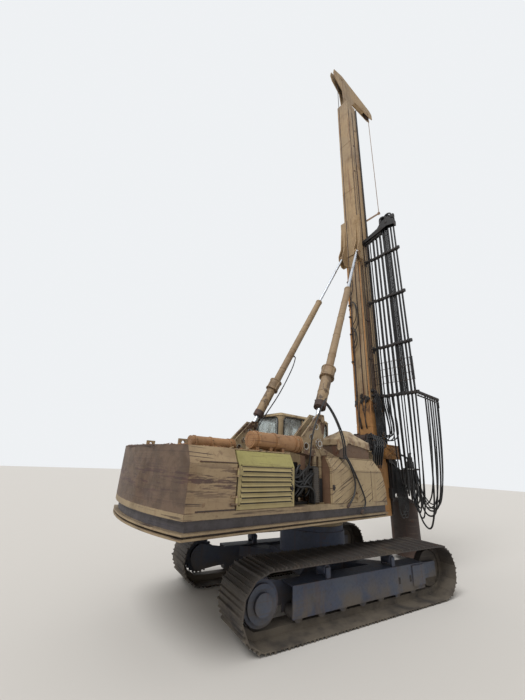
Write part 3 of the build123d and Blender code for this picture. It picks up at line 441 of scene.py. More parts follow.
def smoothMetal(name, colour, roughness, smudge):
    material, tree, shader, place = startMaterial(name, metallic=1.0)
    smears = noiseOn(tree, place, 7, stretch=(1, 1, 0.3), detail=6)
    mixed = mixColour(tree, stepOf(tree, smears, 0.5, 0.7), colour, smudge)
    tree.links.new(mixed, shader.inputs["Base Color"])
    setGloss(tree, shader, smears, roughness, roughness + 0.35)
    addBump(tree, shader, noiseOn(tree, place, 160, stretch=(1, 1, 0.1), detail=2), 0.08, 0.002)
    return material


def rubber(name, colour, dust, ribs=0.0):
    material, tree, shader, place = startMaterial(name, roughness=0.62)
    dusty = stepOf(tree, noiseOn(tree, place, 4.2, detail=7, shift=2.2), 0.5, 0.68)
    mixed = layer(tree, colour, dusty, 0.55, dust)
    tree.links.new(mixed, shader.inputs["Base Color"])
    setGloss(tree, shader, dusty, 0.42, 0.85)
    height = noiseOn(tree, place, 60, stretch=(1, 1, 1 + ribs), detail=3)
    addBump(tree, shader, height, 0.2, 0.004)
    return material


def cloth(name, colour, worn, weave=420.0):
    material, tree, shader, place = startMaterial(name, roughness=0.85)
    shader.inputs["Sheen Weight"].default_value = 0.25
    shader.inputs["Sheen Roughness"].default_value = 0.5
    soft = noiseOn(tree, place, 5, detail=6)
    mixed = mixColour(tree, stepOf(tree, soft, 0.42, 0.66), colour, worn)
    waves = []
    for axis in ("X", "Y"):
        wave = tree.nodes.new("ShaderNodeTexWave")
        wave.bands_direction = axis
        wave.inputs["Scale"].default_value = weave
        tree.links.new(place, wave.inputs["Vector"])
        waves.append(wave.outputs["Fac"])
    threads = combine(tree, "MULTIPLY", waves[0], waves[1])
    tree.links.new(layer(tree, mixed, threads, 0.25, worn), shader.inputs["Base Color"])
    folds = combine(tree, "MULTIPLY", noiseOn(tree, place, 14, detail=5, shift=4), 0.6)
    addBump(tree, shader, combine(tree, "ADD", threads, folds), 0.35, 0.004)
    return material


def dustyGlass(name):
    material, tree, shader, place = startMaterial(name, roughness=0.06)
    shader.inputs["Transmission Weight"].default_value = 0.82
    shader.inputs["IOR"].default_value = 1.45
    dusty = stepOf(tree, noiseOn(tree, place, 3.0, stretch=(1, 1, 0.6), detail=7), 0.42, 0.7)
    mixed = mixColour(tree, dusty, tone(226, 232, 230), tone(176, 172, 160))
    tree.links.new(mixed, shader.inputs["Base Color"])
    setGloss(tree, shader, dusty, 0.04, 0.5)
    return material


finishes["bare_steel"] = smoothMetal("bareSteel", tone(176, 172, 166), 0.34, tone(112, 98, 86))
finishes["rod_chrome"] = smoothMetal("rodChrome", tone(208, 212, 218), 0.14, tone(150, 146, 142))
finishes["hose_rubber"] = rubber("hoseRubber", tone(15, 15, 17), tone(44, 39, 35))
finishes["greyHose"] = rubber("greyHose", tone(70, 64, 58), tone(104, 94, 82), ribs=3.0)
finishes["dryLeaf"] = rubber("dryLeaf", tone(128, 84, 50), tone(168, 132, 88))
finishes["window_glass"] = dustyGlass("windowGlass")
finishes["seat_cover"] = cloth("seatCover", tone(40, 40, 42), tone(66, 62, 58))
finishes["cover_sheet"] = cloth("coverSheet", tone(172, 152, 120), tone(118, 92, 66), weave=260.0)
print("finishes made", len(finishes))

# each node of the drawing and the finish it wears
nodeFinish = {
    "upper_frame": "sill", "mast_cradle": "frame_paint", "counterweight": "tail",
    "louvre_door_right": "louvre", "louvre_panel_left": "louvre", "house_roof": "tan_paint",
    "engine_block": "dark_paint", "front_box": "frontBox", "front_box_door": "tan_paint",
    "left_bay_panel": "tan_paint", "bay_valves": "dark_paint", "cab_shell": "tan_paint",
    "cab_door": "tan_paint", "cab_glass": "window_glass", "cab_door_glass": "window_glass",
    "cab_seat": "seat_cover", "stay_brackets": "bracketRust", "strut_tubes": "strutOrange",
    "deck_box": "deckBrown", "deck_cover": "cover_sheet", "mast_lower": "mastFoot",
    "mast_upper": "mast_paint", "mast_rails": "dark_paint", "mast_foot_lugs": "mast_paint",
    "foot_side_block": "ochre_paint", "rope_arm": "brown_paint", "stay_skirt": "mast_paint",
    "winch": "rusty_steel", "mast_crown": "mast_paint", "rope_sheaves": "rusty_steel",
    "hose_bundle": "dark_paint", "mast_side_pipes": "rusty_steel", "hose_loop_1": "hose_rubber",
    "hose_loop_2": "hose_rubber", "hose_loop_3": "hose_rubber", "stay_barrel_left": "stayTan",
    "stay_barrel_right": "stayTan", "stay_lower_rod_left": "rod_chrome",
    "stay_lower_rod_right": "rod_chrome", "stay_upper_rod_left": "rod_chrome",
    "stay_upper_rod_right": "rod_chrome", "head_carriage": "dark_paint", "head_gearbox": "dark_paint",
    "head_motors": "dark_paint", "head_shaft": "rusty_steel", "core_barrel": "rusty_steel",
    "track_left": "track_steel", "track_right": "track_steel", "track_frame_left": "crawler_paint",
    "track_frame_right": "crawler_paint", "track_rollers": "crawler_paint", "idler_wheels": "track_steel",
    "drive_sprockets": "crawler_paint", "car_body": "crawler_paint",
}
for nodeName, finish in nodeFinish.items():
    mesh = nodes[nodeName].data
    if not mesh.materials:
        mesh.materials.append(finishes[finish])
    for index in range(len(mesh.materials)):
        mesh.materials[index] = finishes[finish]
print("nodes painted", len(nodeFinish), "of", len(nodes))


# mesh helpers
def addBox(form, low, high, chamfer=0.0):
    low, high = Vector(low), Vector(high)
    size = high - low
    matrix = Matrix.Translation((low + high) / 2) @ Matrix.Diagonal((*[abs(v) for v in size], 1))
    made = bmesh.ops.create_cube(form, size=1, matrix=matrix)
    if chamfer:
        edges = list({e for v in made["verts"] for e in v.link_edges})
        bmesh.ops.bevel(form, geom=edges, offset=chamfer, segments=2, affect="EDGES", profile=0.5)


def addTube(form, start, end, radius, sides=18):
    start, end = Vector(start), Vector(end)
    along = end - start
    turn = along.to_track_quat("Z", "Y").to_matrix().to_4x4()
    matrix = Matrix.Translation((start + end) / 2) @ turn
    bmesh.ops.create_cone(form, cap_ends=True, segments=sides, radius1=radius, radius2=radius,
        depth=along.length, matrix=matrix)


def addRing(form, centre, axis, outer, inner, width, sides=28):
    # a flat ring with a hole, standing across the axis
    axis = Vector(axis).normalized()
    side = axis.orthogonal().normalized()
    across = axis.cross(side)
    loops = []
    for radius, shift in ((outer, -width / 2), (outer, width / 2), (inner, width / 2), (inner, -width / 2)):
        loop = []
        for k in range(sides):
            a = 2 * math.pi * k / sides
            out = side * math.cos(a) + across * math.sin(a)
            loop.append(form.verts.new(Vector(centre) + axis * shift + out * radius))
        loops.append(loop)
    for first, second in zip(loops, loops[1:] + loops[:1]):
        for k in range(sides):
            form.faces.new((first[k], first[(k + 1) % sides], second[(k + 1) % sides], second[k]))


def addPlate(form, points, shift, chamfer=0.0):
    face = form.faces.new([form.verts.new(p) for p in points])
    grown = bmesh.ops.extrude_face_region(form, geom=[face])
    moved = [g for g in grown["geom"] if isinstance(g, bmesh.types.BMVert)]
    bmesh.ops.translate(form, verts=moved, vec=shift)
    if chamfer:
        edges = list({e for v in moved for e in v.link_edges})
        bmesh.ops.bevel(form, geom=edges, offset=chamfer, segments=1, affect="EDGES")


def finishMesh(name, form, finish, body, smoothAngle=38):
    bmesh.ops.recalc_face_normals(form, faces=form.faces)
    mesh = bpy.data.meshes.new(name)
    form.to_mesh(mesh)
    form.free()
    mesh.shade_smooth()
    mesh.set_sharp_from_angle(angle=math.radians(smoothAngle))
    return placeMesh(name, mesh, finish, body)


def placeMesh(name, mesh, finish, body):
    piece = newObject(name, mesh)
    if len(mesh.materials):
        for index in range(len(mesh.materials)):
            mesh.materials[index] = finishes[finish]
    else:
        mesh.materials.append(finishes[finish])
    if body:
        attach(piece, body)
    return piece


def hoseRun(name, routes, radius, finish, body, roundness=2, closed=False):
    # fixed hoses and pipes, one smooth open spline for each, or closed loops with straight sides
    curve = bpy.data.curves.new(name, "CURVE")
    curve.dimensions = "3D"
    curve.bevel_depth = radius
    curve.bevel_resolution = roundness
    curve.use_fill_caps = not closed
    for route in routes:
        spline = curve.splines.new("POLY" if closed else "NURBS")
        spline.points.add(len(route) - 1)
        for point, place in zip(spline.points, route):
            point.co = (*place, 1)
        if closed:
            spline.use_cyclic_u = True
        else:
            spline.order_u = 3
            spline.use_endpoint_u = True
            spline.resolution_u = 6
    curve.materials.append(finishes[finish])
    piece = newObject(name, curve)
    if body:
        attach(piece, body)
    return piece


# Geometry Nodes that set small repeated parts
def startTree(name, sizes):
    tree = bpy.data.node_groups.new(name, "GeometryNodeTree")
    tree.interface.new_socket("Geometry", in_out="INPUT", socket_type="NodeSocketGeometry")
    for label, kind, value in sizes:
        socket = tree.interface.new_socket(label, in_out="INPUT", socket_type="NodeSocket" + kind)
        if value is not None:
            socket.default_value = value
    tree.interface.new_socket("Geometry", in_out="OUTPUT", socket_type="NodeSocketGeometry")
    return tree, tree.nodes.new("NodeGroupInput"), tree.nodes.new("NodeGroupOutput")


def runTree(name, tree, mesh, values, finish, body):
    holder = newObject(name + "Seed", mesh)
    modifier = holder.modifiers.new("build", "NODES")
    modifier.node_group = tree
    for item in tree.interface.items_tree:
        if item.in_out == "INPUT" and item.name in values:
            modifier[item.identifier] = values[item.name]
    made = evaluatedMesh(holder)
    made.name = name
    bpy.data.objects.remove(holder)
    return placeMesh(name, made, finish, body)


def closeTree(tree, given, result, instances):
    # real meshes in place of the instances, in the finish that was given
    real = tree.nodes.new("GeometryNodeRealizeInstances")
    paint = tree.nodes.new("GeometryNodeSetMaterial")
    tree.links.new(instances.outputs[0], real.inputs[0])
    tree.links.new(real.outputs[0], paint.inputs["Geometry"])
    tree.links.new(given.outputs["Material"], paint.inputs["Material"])
    tree.links.new(paint.outputs[0], result.inputs[0])
    return tree


def boltTree():
    tree, given, result = startTree("boltsOnPoints", [
        ("Head Radius", "Float", 0.014), ("Head Height", "Float", 0.01), ("Washer Radius", "Float", 0.02),
        ("Material", "Material", None),
    ])
    head = tree.nodes.new("GeometryNodeMeshCylinder")
    head.inputs["Vertices"].default_value = 6
    washer = tree.nodes.new("GeometryNodeMeshCylinder")
    washer.inputs["Vertices"].default_value = 10
    washer.inputs["Depth"].default_value = 0.006
    lift = tree.nodes.new("GeometryNodeTransform")
    rise = tree.nodes.new("ShaderNodeCombineXYZ")
    half = tree.nodes.new("ShaderNodeMath")
    half.operation = "MULTIPLY"
    half.inputs[1].default_value = 0.5
    both = tree.nodes.new("GeometryNodeJoinGeometry")
    facing = tree.nodes.new("GeometryNodeInputNamedAttribute")
    facing.data_type = "FLOAT_VECTOR"
    facing.inputs["Name"].default_value = "facing"
    size = tree.nodes.new("GeometryNodeInputNamedAttribute")
    size.data_type = "FLOAT"
    size.inputs["Name"].default_value = "size"
    aim = tree.nodes.new("FunctionNodeAlignRotationToVector")
    aim.axis = "Z"
    place = tree.nodes.new("GeometryNodeInstanceOnPoints")
    link = tree.links.new
    link(given.outputs["Head Radius"], head.inputs["Radius"])
    link(given.outputs["Head Height"], head.inputs["Depth"])
    link(given.outputs["Washer Radius"], washer.inputs["Radius"])
    link(given.outputs["Head Height"], half.inputs[0])
    link(half.outputs[0], rise.inputs["Z"])
    link(rise.outputs[0], lift.inputs["Translation"])
    link(head.outputs["Mesh"], lift.inputs["Geometry"])
    link(lift.outputs[0], both.inputs[0])
    link(washer.outputs["Mesh"], both.inputs[0])
    link(given.outputs["Geometry"], place.inputs["Points"])
    link(both.outputs[0], place.inputs["Instance"])
    link(facing.outputs["Attribute"], aim.inputs["Vector"])
    link(aim.outputs["Rotation"], place.inputs["Rotation"])
    link(size.outputs["Attribute"], place.inputs["Scale"])
    return closeTree(tree, given, result, place)


def rowTree():
    tree, given, result = startTree("rowOfBars", [
        ("Count", "Int", 5), ("Step", "Vector", (0, 0, 0.1)), ("Bar Size", "Vector", (1, 0.02, 0.01)),
        ("Bar Turn", "Vector", (0, 0, 0)), ("Material", "Material", None),
    ])
    line = tree.nodes.new("GeometryNodeMeshLine")
    bar = tree.nodes.new("GeometryNodeMeshCube")
    starts = tree.nodes.new("GeometryNodeInstanceOnPoints")
    bars = tree.nodes.new("GeometryNodeInstanceOnPoints")
    link = tree.links.new
    link(given.outputs["Count"], line.inputs["Count"])
    link(given.outputs["Step"], line.inputs["Offset"])
    link(given.outputs["Bar Size"], bar.inputs["Size"])
    link(line.outputs["Mesh"], bars.inputs["Points"])
    link(bar.outputs["Mesh"], bars.inputs["Instance"])
    turn = tree.nodes.new("FunctionNodeEulerToRotation")
    link(given.outputs["Bar Turn"], turn.inputs[0])
    link(turn.outputs[0], bars.inputs["Rotation"])
    link(given.outputs["Geometry"], starts.inputs["Points"])
    link(bars.outputs[0], starts.inputs["Instance"])
    return closeTree(tree, given, result, starts)


bolting = boltTree()
rowing = rowTree()
boltPlaces = {}


def boltAt(body, place, facing, size=1.0):
    boltPlaces.setdefault(body, []).append((Vector(place), Vector(facing), size))


def boltRing(body, centre, axis, radius, count, size=1.0, start=0.0):
    axis = Vector(axis).normalized()
    side = axis.orthogonal().normalized()
    across = axis.cross(side)
    for k in range(count):
        a = start + 2 * math.pi * k / count
        boltAt(body, Vector(centre) + (side * math.cos(a) + across * math.sin(a)) * radius, axis, size)


def barRow(name, starts, count, step, size, finish, body, turn=(0, 0, 0)):
    mesh = bpy.data.meshes.new(name + "Starts")
    mesh.from_pydata([tuple(s) for s in starts], [], [])
    values = {"Count": count, "Step": step, "Bar Size": size, "Bar Turn": turn, "Material": finishes[finish]}
    return runTree(name, rowing, mesh, values, finish, body)


def leafTree():
    tree, given, result = startTree("fallenLeaves", [
        ("Density", "Float", 90.0), ("Seed", "Int", 3), ("Leaf Length", "Float", 0.06),
        ("Material", "Material", None),
    ])
    scatter = tree.nodes.new("GeometryNodeDistributePointsOnFaces")
    leaf = tree.nodes.new("GeometryNodeMeshCone")
    leaf.inputs["Vertices"].default_value = 3
    leaf.inputs["Radius Top"].default_value = 0.0
    leaf.inputs["Radius Bottom"].default_value = 0.011
    turn = tree.nodes.new("FunctionNodeRandomValue")
    turn.data_type = "FLOAT_VECTOR"
    turn.inputs["Min"].default_value = (1.1, -0.4, 0)
    turn.inputs["Max"].default_value = (2.0, 0.4, 6.28)
    grow = tree.nodes.new("FunctionNodeRandomValue")
    grow.data_type = "FLOAT"
    grow.inputs[2].default_value = 0.5
    grow.inputs[3].default_value = 1.7
    place = tree.nodes.new("GeometryNodeInstanceOnPoints")
    link = tree.links.new
    link(given.outputs["Geometry"], scatter.inputs["Mesh"])
    link(given.outputs["Density"], scatter.inputs["Density"])
    link(given.outputs["Seed"], scatter.inputs["Seed"])
    link(given.outputs["Leaf Length"], leaf.inputs["Depth"])
    link(scatter.outputs["Points"], place.inputs["Points"])
    link(leaf.outputs["Mesh"], place.inputs["Instance"])
    link(turn.outputs[0], place.inputs["Rotation"])
    link(grow.outputs[1], place.inputs["Scale"])
    return closeTree(tree, given, result, place)


# hanging hoses: each is one smooth spline from the arms or the hanger down and up to the drill head
loopHoses = {
    "hoseLoopRear": {"node": "hose_loop_1", "length": 5.06,
        "route": [(2.675, -1.41, 4.228), (2.6883, -1.3913, 3.7954), (2.7035, -1.3698, 3.363),
        (2.7214, -1.3446, 2.9309), (2.7431, -1.314, 2.4994), (2.7705, -1.2754, 2.0688),
        (2.8079, -1.2227, 1.6405), (2.8665, -1.1402, 1.2196), (2.9953, -0.9588, 0.8571),
        (3.1954, -0.6768, 1.0165), (3.2774, -0.5613, 1.4245), (3.3233, -0.4967, 1.8503),
        (3.355, -0.452, 2.28)]},
    "hoseLoopMiddle": {"node": "hose_loop_2", "length": 4.51,
        "route": [(2.975, -1.41, 4.228), (2.9848, -1.3921, 3.8419), (2.996, -1.3716, 3.456),
        (3.009, -1.3477, 3.0703), (3.0246, -1.3191, 2.685), (3.0441, -1.2833, 2.3005),
        (3.07, -1.2358, 1.9177), (3.1087, -1.165, 1.5398), (3.1833, -1.0282, 1.1886),
        (3.3406, -0.7397, 1.1728), (3.4189, -0.5961, 1.5199), (3.4586, -0.5234, 1.8973),
        (3.485, -0.475, 2.28)]},
    "hoseLoopFront": {"node": "hose_loop_3", "length": 4.28,
        "route": [(3.275, -1.41, 4.228), (3.2815, -1.3918, 3.8625), (3.2888, -1.371, 3.4972),
        (3.2974, -1.3469, 3.1322), (3.3076, -1.3181, 2.7675), (3.3203, -1.2824, 2.4035),
        (3.3369, -1.2355, 2.041), (3.3612, -1.1671, 1.6824), (3.4055, -1.0422, 1.3428),
        (3.5074, -0.7551, 1.25), (3.5676, -0.5855, 1.5629), (3.5964, -0.5045, 1.9183),
        (3.615, -0.452, 2.28)]},
}
# start (x, y, z), end (x, y), radius of the lowest bend and length, all as a hose maker would note them
curtainHoses = [
    ((2650, -640, 4238), (3480, -456), 156, 3.02), ((2718, -700, 4200), (3505, -490), 137, 3.18),
    ((2650, -760, 4238), (3530, -456), 174, 3.14), ((2718, -830, 4200), (3555, -490), 151, 3.45),
    ((2650, -900, 4238), (3580, -456), 192, 3.37), ((2650, -985, 4238), (3605, -490), 185, 3.79),
    ((2718, -1030, 4200), (3630, -456), 196, 3.58), ((2718, -1130, 4200), (3655, -490), 191, 4.03),
    ((2650, -1190, 4238), (3680, -456), 239, 3.85), ((2718, -1240, 4200), (3705, -490), 209, 4.30),
    ((2650, -1290, 4238), (3730, -456), 258, 4.08), ((2718, -1340, 4200), (3755, -490), 227, 4.57),
    ((2650, -1385, 4238), (3780, -456), 275, 4.35), ((3300, -1410, 4228), (3895, -430), 198, 3.96),
    ((3600, -1410, 4228), (4025, -430), 173, 4.14), ((3900, -1410, 4228), (4120, -480), 147, 4.23),
    ((3985, -1410, 4228), (4175, -440), 159, 3.99),
]
curtainRadius = 0.017
manifoldTop = 2290


def hangingRoute(start, end, tightness, runs=12):
    # points along the curve in which a heavy hose hangs between two places
    span = math.hypot(end[0] - start[0], end[1] - start[1])
    low, high = min(start[2], end[2]) - 4000, min(start[2], end[2]) - 5
    for _ in range(60):
        bottom = (low + high) / 2
        reaches = [tightness * math.acosh(1 + (place[2] - bottom) / tightness) for place in (start, end)]
        if sum(reaches) > span:
            low = bottom
        else:
            high = bottom
    lengths = [tightness * math.sinh(reach / tightness) for reach in reaches]
    route = []
    for step in range(runs + 1):
        across = tightness * math.asinh((-lengths[0] + sum(lengths) * step / runs) / tightness)
        share = (across + reaches[0]) / sum(reaches)
        z = bottom + tightness * (math.cosh(across / tightness) - 1)
        route.append(at(start[0] + (end[0] - start[0]) * share, start[1] + (end[1] - start[1]) * share, z))
    return route


# control points of a half circle's lower side, across from the middle and up, as shares of its radius
roundBottom = (
    (-1, 1.2), (-1, 0.414), (-1, -0.414), (-0.414, -1),
    (0.414, -1), (1, -0.414), (1, 0.414), (1, 1.2),
)


def loopRoute(start, down, up, bottom, end):
    # a hose that drops, turns in a round bottom and comes up again
    middle, half = (Vector(down) + Vector(up)) / 2, (Vector(up) - Vector(down)) / 2
    route = [at(*place) for place in start]
    for across, rise in roundBottom:
        place = middle + half * across
        route.append(at(place.x, place.y, bottom + half.length * (1 + rise)))
    return route + [at(*place) for place in end]


def meshHose(name, route, radius, finish):
    # the tube of a hose that bends between two bodies, and the line that it follows
    curve = hoseRun(name + "Line", [route], 0.0, finish, None)
    curve.data.splines[0].resolution_u = 8
    line = evaluatedMesh(curve)
    path = [tuple(v.co) for v in line.vertices]
    curve.data.bevel_depth = radius
    curve.data.bevel_resolution = 3
    tube = evaluatedMesh(curve)
    bpy.data.meshes.remove(line)
    bpy.data.objects.remove(curve)
    tube.shade_smooth()
    piece = placeMesh(name, tube, finish, None)
    return piece, path


for name, look in loopHoses.items():
    piece, path = meshHose(name, look["route"], 0.021, "hose_rubber")
    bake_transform(piece)
    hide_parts(look["node"])
for number, (start, end, tightness, length) in enumerate(curtainHoses, 1):
    route = hangingRoute(start, (*end, manifoldTop), tightness)
    piece, path = meshHose(f"curtainHose{number}", route, curtainRadius, "hose_rubber")
    first, last = route[0], route[-1]
    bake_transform(piece)
form = bmesh.new()
addBox(form, at(3440, -530, 2301), at(3790, -405, 2346), 0.006)
addBox(form, at(4140, -530, 2301), at(4280, -405, 2346), 0.006)
for number, (start, end, tightness, length) in enumerate(curtainHoses):
    addTube(form, at(*end, 2270), at(*end, 2304), 0.021, 12)
finishMesh("hoseManifold", form, "dark_paint", "drill_head")
form = bmesh.new()
for start, end, tightness, length in curtainHoses:
    if start[2] == 4228:
        addTube(form, at(start[0], -1410, 4215), at(start[0], -1410, 4246), 0.021, 12)
finishMesh("hangerFittings", form, "dark_paint", "mast")
print("hanging hoses made", len(loopHoses) + len(curtainHoses))


# crumpled cover on the deck box
coverLook = {
    "width": 0.86, "length": 1.34, "cells": (54, 84), "centre": (20, -890), "top": 2.79, "lumps": 0.15,
    "seed": 7, "frames": 34,
}


def coverHeight(u, v):
    edge = (1 - u ** 4) * (1 - v ** 4)
    lump = 0.5 + 0.5 * math.sin(3.1 * u + 0.6) * math.cos(2.3 * v - 0.4) + 0.35 * math.sin(6.5 * v + 2 * u)
    return edge * (0.05 + coverLook["lumps"] * max(0, min(1, lump)))


def coverMound():
    # the heap under the cover, only there while the cloth falls
    form = bmesh.new()
    cx, cy = coverLook["centre"]
    steps = 26
    grid = []
    for i in range(steps + 1):
        row = []
        for j in range(steps + 1):
            u, v = i / steps * 2 - 1, j / steps * 2 - 1
            place = at(cx + u * 440, cy + v * 225, 0)
            place.z = coverLook["top"] + 0.012 + coverHeight(u, v)
            row.append(form.verts.new(place))
        grid.append(row)
    for i in range(steps):
        for j in range(steps):
            form.faces.new((grid[i][j], grid[i + 1][j], grid[i + 1][j + 1], grid[i][j + 1]))
    mesh = bpy.data.meshes.new("coverMound")
    form.to_mesh(mesh)
    form.free()
    return newObject("coverMound", mesh)


def makeCover():
    wide, long = coverLook["width"], coverLook["length"]
    cellsWide, cellsLong = coverLook["cells"]
    cx, cy = coverLook["centre"]
    centre = at(cx, cy, 0)
    random.seed(coverLook["seed"])
    places, faces = [], []
    for i in range(cellsLong + 1):
        for j in range(cellsWide + 1):
            u, v = i / cellsLong - 0.5, j / cellsWide - 0.5
            folds = 0.009 * math.sin(23 * u + 9 * v) + 0.009 * math.sin(31 * v - 12 * u)
            lift = folds + random.uniform(-0.003, 0.003)
            places.append((centre.x + u * long, centre.y + v * wide, coverLook["top"] + 0.24 + lift))
    for i in range(cellsLong):
        for j in range(cellsWide):
            a = i * (cellsWide + 1) + j
            faces.append((a, a + 1, a + cellsWide + 2, a + cellsWide + 1))
    mesh = bpy.data.meshes.new("crumpledCover")
    mesh.from_pydata(places, [], faces)
    cover = placeMesh("crumpledCover", mesh, "cover_sheet", None)
    mound = coverMound()
    form = bmesh.new()
    addBox(form, at(-490, -1140, 2500), at(530, -640, 2788))
    boxMesh = bpy.data.meshes.new("coverTable")
    form.to_mesh(boxMesh)
    form.free()
    table = newObject("coverTable", boxMesh)
    for solid in (mound, table):
        solid.modifiers.new("stop", "COLLISION")
        solid.collision.thickness_outer = 0.004
        solid.collision.cloth_friction = 20
    fall = cover.modifiers.new("fall", "CLOTH")
    fall.settings.quality = 6
    fall.settings.mass = 0.25
    fall.settings.bending_stiffness = 0.12
    fall.settings.tension_stiffness = 18
    fall.settings.compression_stiffness = 18
    fall.settings.use_dynamic_mesh = False
    fall.collision_settings.distance_min = 0.004
    fall.point_cache.frame_start = 1
    fall.point_cache.frame_end = coverLook["frames"]
    for step in range(1, coverLook["frames"] + 1):
        bpy.context.scene.frame_set(step)
    fallen = evaluatedMesh(cover)
    cover.modifiers.clear()
    cover.data = fallen
    for solid in (mound, table):
        bpy.data.objects.remove(solid)
    bpy.context.scene.frame_set(1)
    cover.data.shade_smooth()
    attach(cover, "upper")
    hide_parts("deck_cover")
    thick = cover.modifiers.new("hem", "SOLIDIFY")
    thick.thickness = 0.003


makeCover()
print("cover laid")


# driver's seat: two padded cushions on a pressed pan
seatLook = {
    "voxel": 0.011, "swell": 0.014, "frames": 16, "channel": 0.11,
    "cushion": ((95, 605, 2012), (545, 1045, 2120)),
    "back": ((48, 605, 2150), (150, 1045, 2700)), "backTilt": -6,
}


def makeCushion(name, low, high, tilt):
    form = bmesh.new()
    addBox(form, at(*low), at(*high), 0.03)
    centre = (at(*low) + at(*high)) / 2
    bmesh.ops.rotate(form, verts=form.verts, cent=centre, matrix=Matrix.Rotation(math.radians(tilt), 3, "Y"))
    mesh = bpy.data.meshes.new(name)
    form.to_mesh(mesh)
    form.free()
    cushion = placeMesh(name, mesh, "seat_cover", None)
    finer = cushion.modifiers.new("finer", "REMESH")
    finer.mode = "VOXEL"
    finer.voxel_size = seatLook["voxel"]
    body = evaluatedMesh(cushion)
    cushion.modifiers.clear()
    cushion.data = body
    start = [v.co.copy() for v in body.vertices]
    bpy.context.scene.frame_set(1)
    swell = cushion.modifiers.new("swell", "CLOTH")
    swell.settings.use_pressure = True
    swell.settings.uniform_pressure_force = 4
    swell.settings.effector_weights.gravity = 0
    swell.point_cache.frame_end = seatLook["frames"]
    for step in range(1, seatLook["frames"] + 1):
        bpy.context.scene.frame_set(step)
    full = evaluatedMesh(cushion)
    cushion.modifiers.clear()
    for vertex, was in zip(full.vertices, start):
        move = vertex.co - was
        if move.length > seatLook["swell"]:
            vertex.co = was + move.normalized() * seatLook["swell"]
    cushion.data = full
    bpy.context.scene.frame_set(1)
    middle = (at(*low) + at(*high)) / 2
    for vertex in full.vertices:
        # sewn channels across the pad
        along = (vertex.co.y - middle.y) / seatLook["channel"]
        depth = 0.006 * max(0, math.cos(math.pi * 2 * along)) ** 12
        vertex.co -= (vertex.co - middle).normalized() * depth
    cushion.data.shade_smooth()
    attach(cushion, "upper")


makeCushion("seatCushion", *seatLook["cushion"], 0)
makeCushion("seatBackrest", *seatLook["back"], seatLook["backTilt"])
form = bmesh.new()
addBox(form, at(90, 597, 1990), at(555, 1053, 2008), 0.006)
addPlate(form, [at(40, 625, 2010), at(58, 625, 2010), at(24, 625, 2690), at(6, 625, 2690)],
    Vector((0, 0.4, 0)), 0.004)
addTube(form, at(320, 825, 1750), at(320, 825, 1992), 0.07)
addTube(form, at(320, 825, 1749), at(320, 825, 1775), 0.17)
for side in (515, 1135):
    addBox(form, at(160, side - 30, 2200), at(520, side + 30, 2260), 0.02)
    addTube(form, at(200, side, 2000), at(200, side, 2210), 0.018)
    addTube(form, at(200, side, 2004), at(200, 825, 2004), 0.014)
seatPan = finishMesh("seatPan", form, "dark_paint", "upper")
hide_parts("cab_seat")
print("seat made")


# cab: window gaskets, glazing bars, gutter, handles and wiper
cabLook = {"gasket": 0.014, "corner": 105, "gutter": 0.009, "roofCorner": 92}


def gasketLoop(first, second, corner):
    # the rounded loop round a window, from two opposite corners in one plane
    flat = [axis for axis in range(3) if abs(first[axis] - second[axis]) < 1][0]
    u, v = [axis for axis in range(3) if axis != flat]
    points = []
    corners = (
        (first[u], first[v], 1, 1), (second[u], first[v], -1, 1),
        (second[u], second[v], -1, -1), (first[u], second[v], 1, -1),
    )
    for cu, cv, su, sv in corners:
        turnWay = [(0, 1), (0.076, 0.617), (0.29, 0.29), (0.617, 0.076), (1, 0)]
        if su * sv < 0:
            turnWay.reverse()
        for du, dv in turnWay:
            point = [0, 0, 0]
            point[flat] = first[flat]
            point[u] = cu + su * corner * du
            point[v] = cv + sv * corner * dv
            points.append(at(*point))
    return points


windowLoops = [
    gasketLoop((-652, 440, 2620), (-652, 1210, 3330), cabLook["corner"]),
    gasketLoop((-550, 348, 2620), (1030, 348, 3330), cabLook["corner"]),
    gasketLoop((1152, 440, 2150), (1152, 1210, 3330), cabLook["corner"]),
    gasketLoop((-550, 1302, 2620), (70, 1302, 3330), cabLook["corner"]),
]
doorLoop = gasketLoop((230, 1302, 2450), (960, 1302, 3260), cabLook["corner"])
gutterLoop = gasketLoop((-654, 346, 3362), (1154, 1304, 3362), cabLook["roofCorner"])
hoseRun("windowGaskets", windowLoops, cabLook["gasket"], "hose_rubber", "upper", closed=True)
hoseRun("doorWindowGasket", [doorLoop], cabLook["gasket"], "hose_rubber", "cab_door", closed=True)
hoseRun("cabGutter", [gutterLoop], cabLook["gutter"], "tan_paint", "upper", closed=True)
form = bmesh.new()
for x in (60, 480):
    addBox(form, at(x, 340, 2622), at(x + 34, 354, 3328), 0.004)
addBox(form, at(-540, 460, 3428), at(1040, 1190, 3444), 0.012)
addTube(form, at(250, 820, 3440), at(250, 820, 3472), 0.16, 28)
for y in (560, 700, 960, 1090):
    addBox(form, at(-500, y, 3442), at(1000, y + 26, 3452), 0.004)
finishMesh("cabTrim", form, "tan_paint", "upper")
form = bmesh.new()
addTube(form, at(-654, 400, 2560), at(-654, 1250, 2560), 0.012)
for z in (1840, 2090, 2340):
    addBox(form, at(-656, 420, z), at(-648, 1230, z + 10), 0.002)
addBox(form, at(-640, 343, 2060), at(1140, 352, 2072), 0.002)
addTube(form, at(-560, 330, 2450), at(-560, 330, 3100), 0.014)
for z in (2470, 3080):
    addTube(form, at(-560, 330, z), at(-560, 352, z), 0.01)
finishMesh("cabRails", form, "dark_paint", "upper")
form = bmesh.new()
addTube(form, at(905, 1318, 2240), at(1005, 1318, 2240), 0.013)
for x in (915, 995):
    addTube(form, at(x, 1299, 2240), at(x, 1320, 2240), 0.009)
addTube(form, at(960, 1300, 2170), at(960, 1314, 2170), 0.022)
finishMesh("cabDoorHandle", form, "dark_paint", "cab_door")
form = bmesh.new()
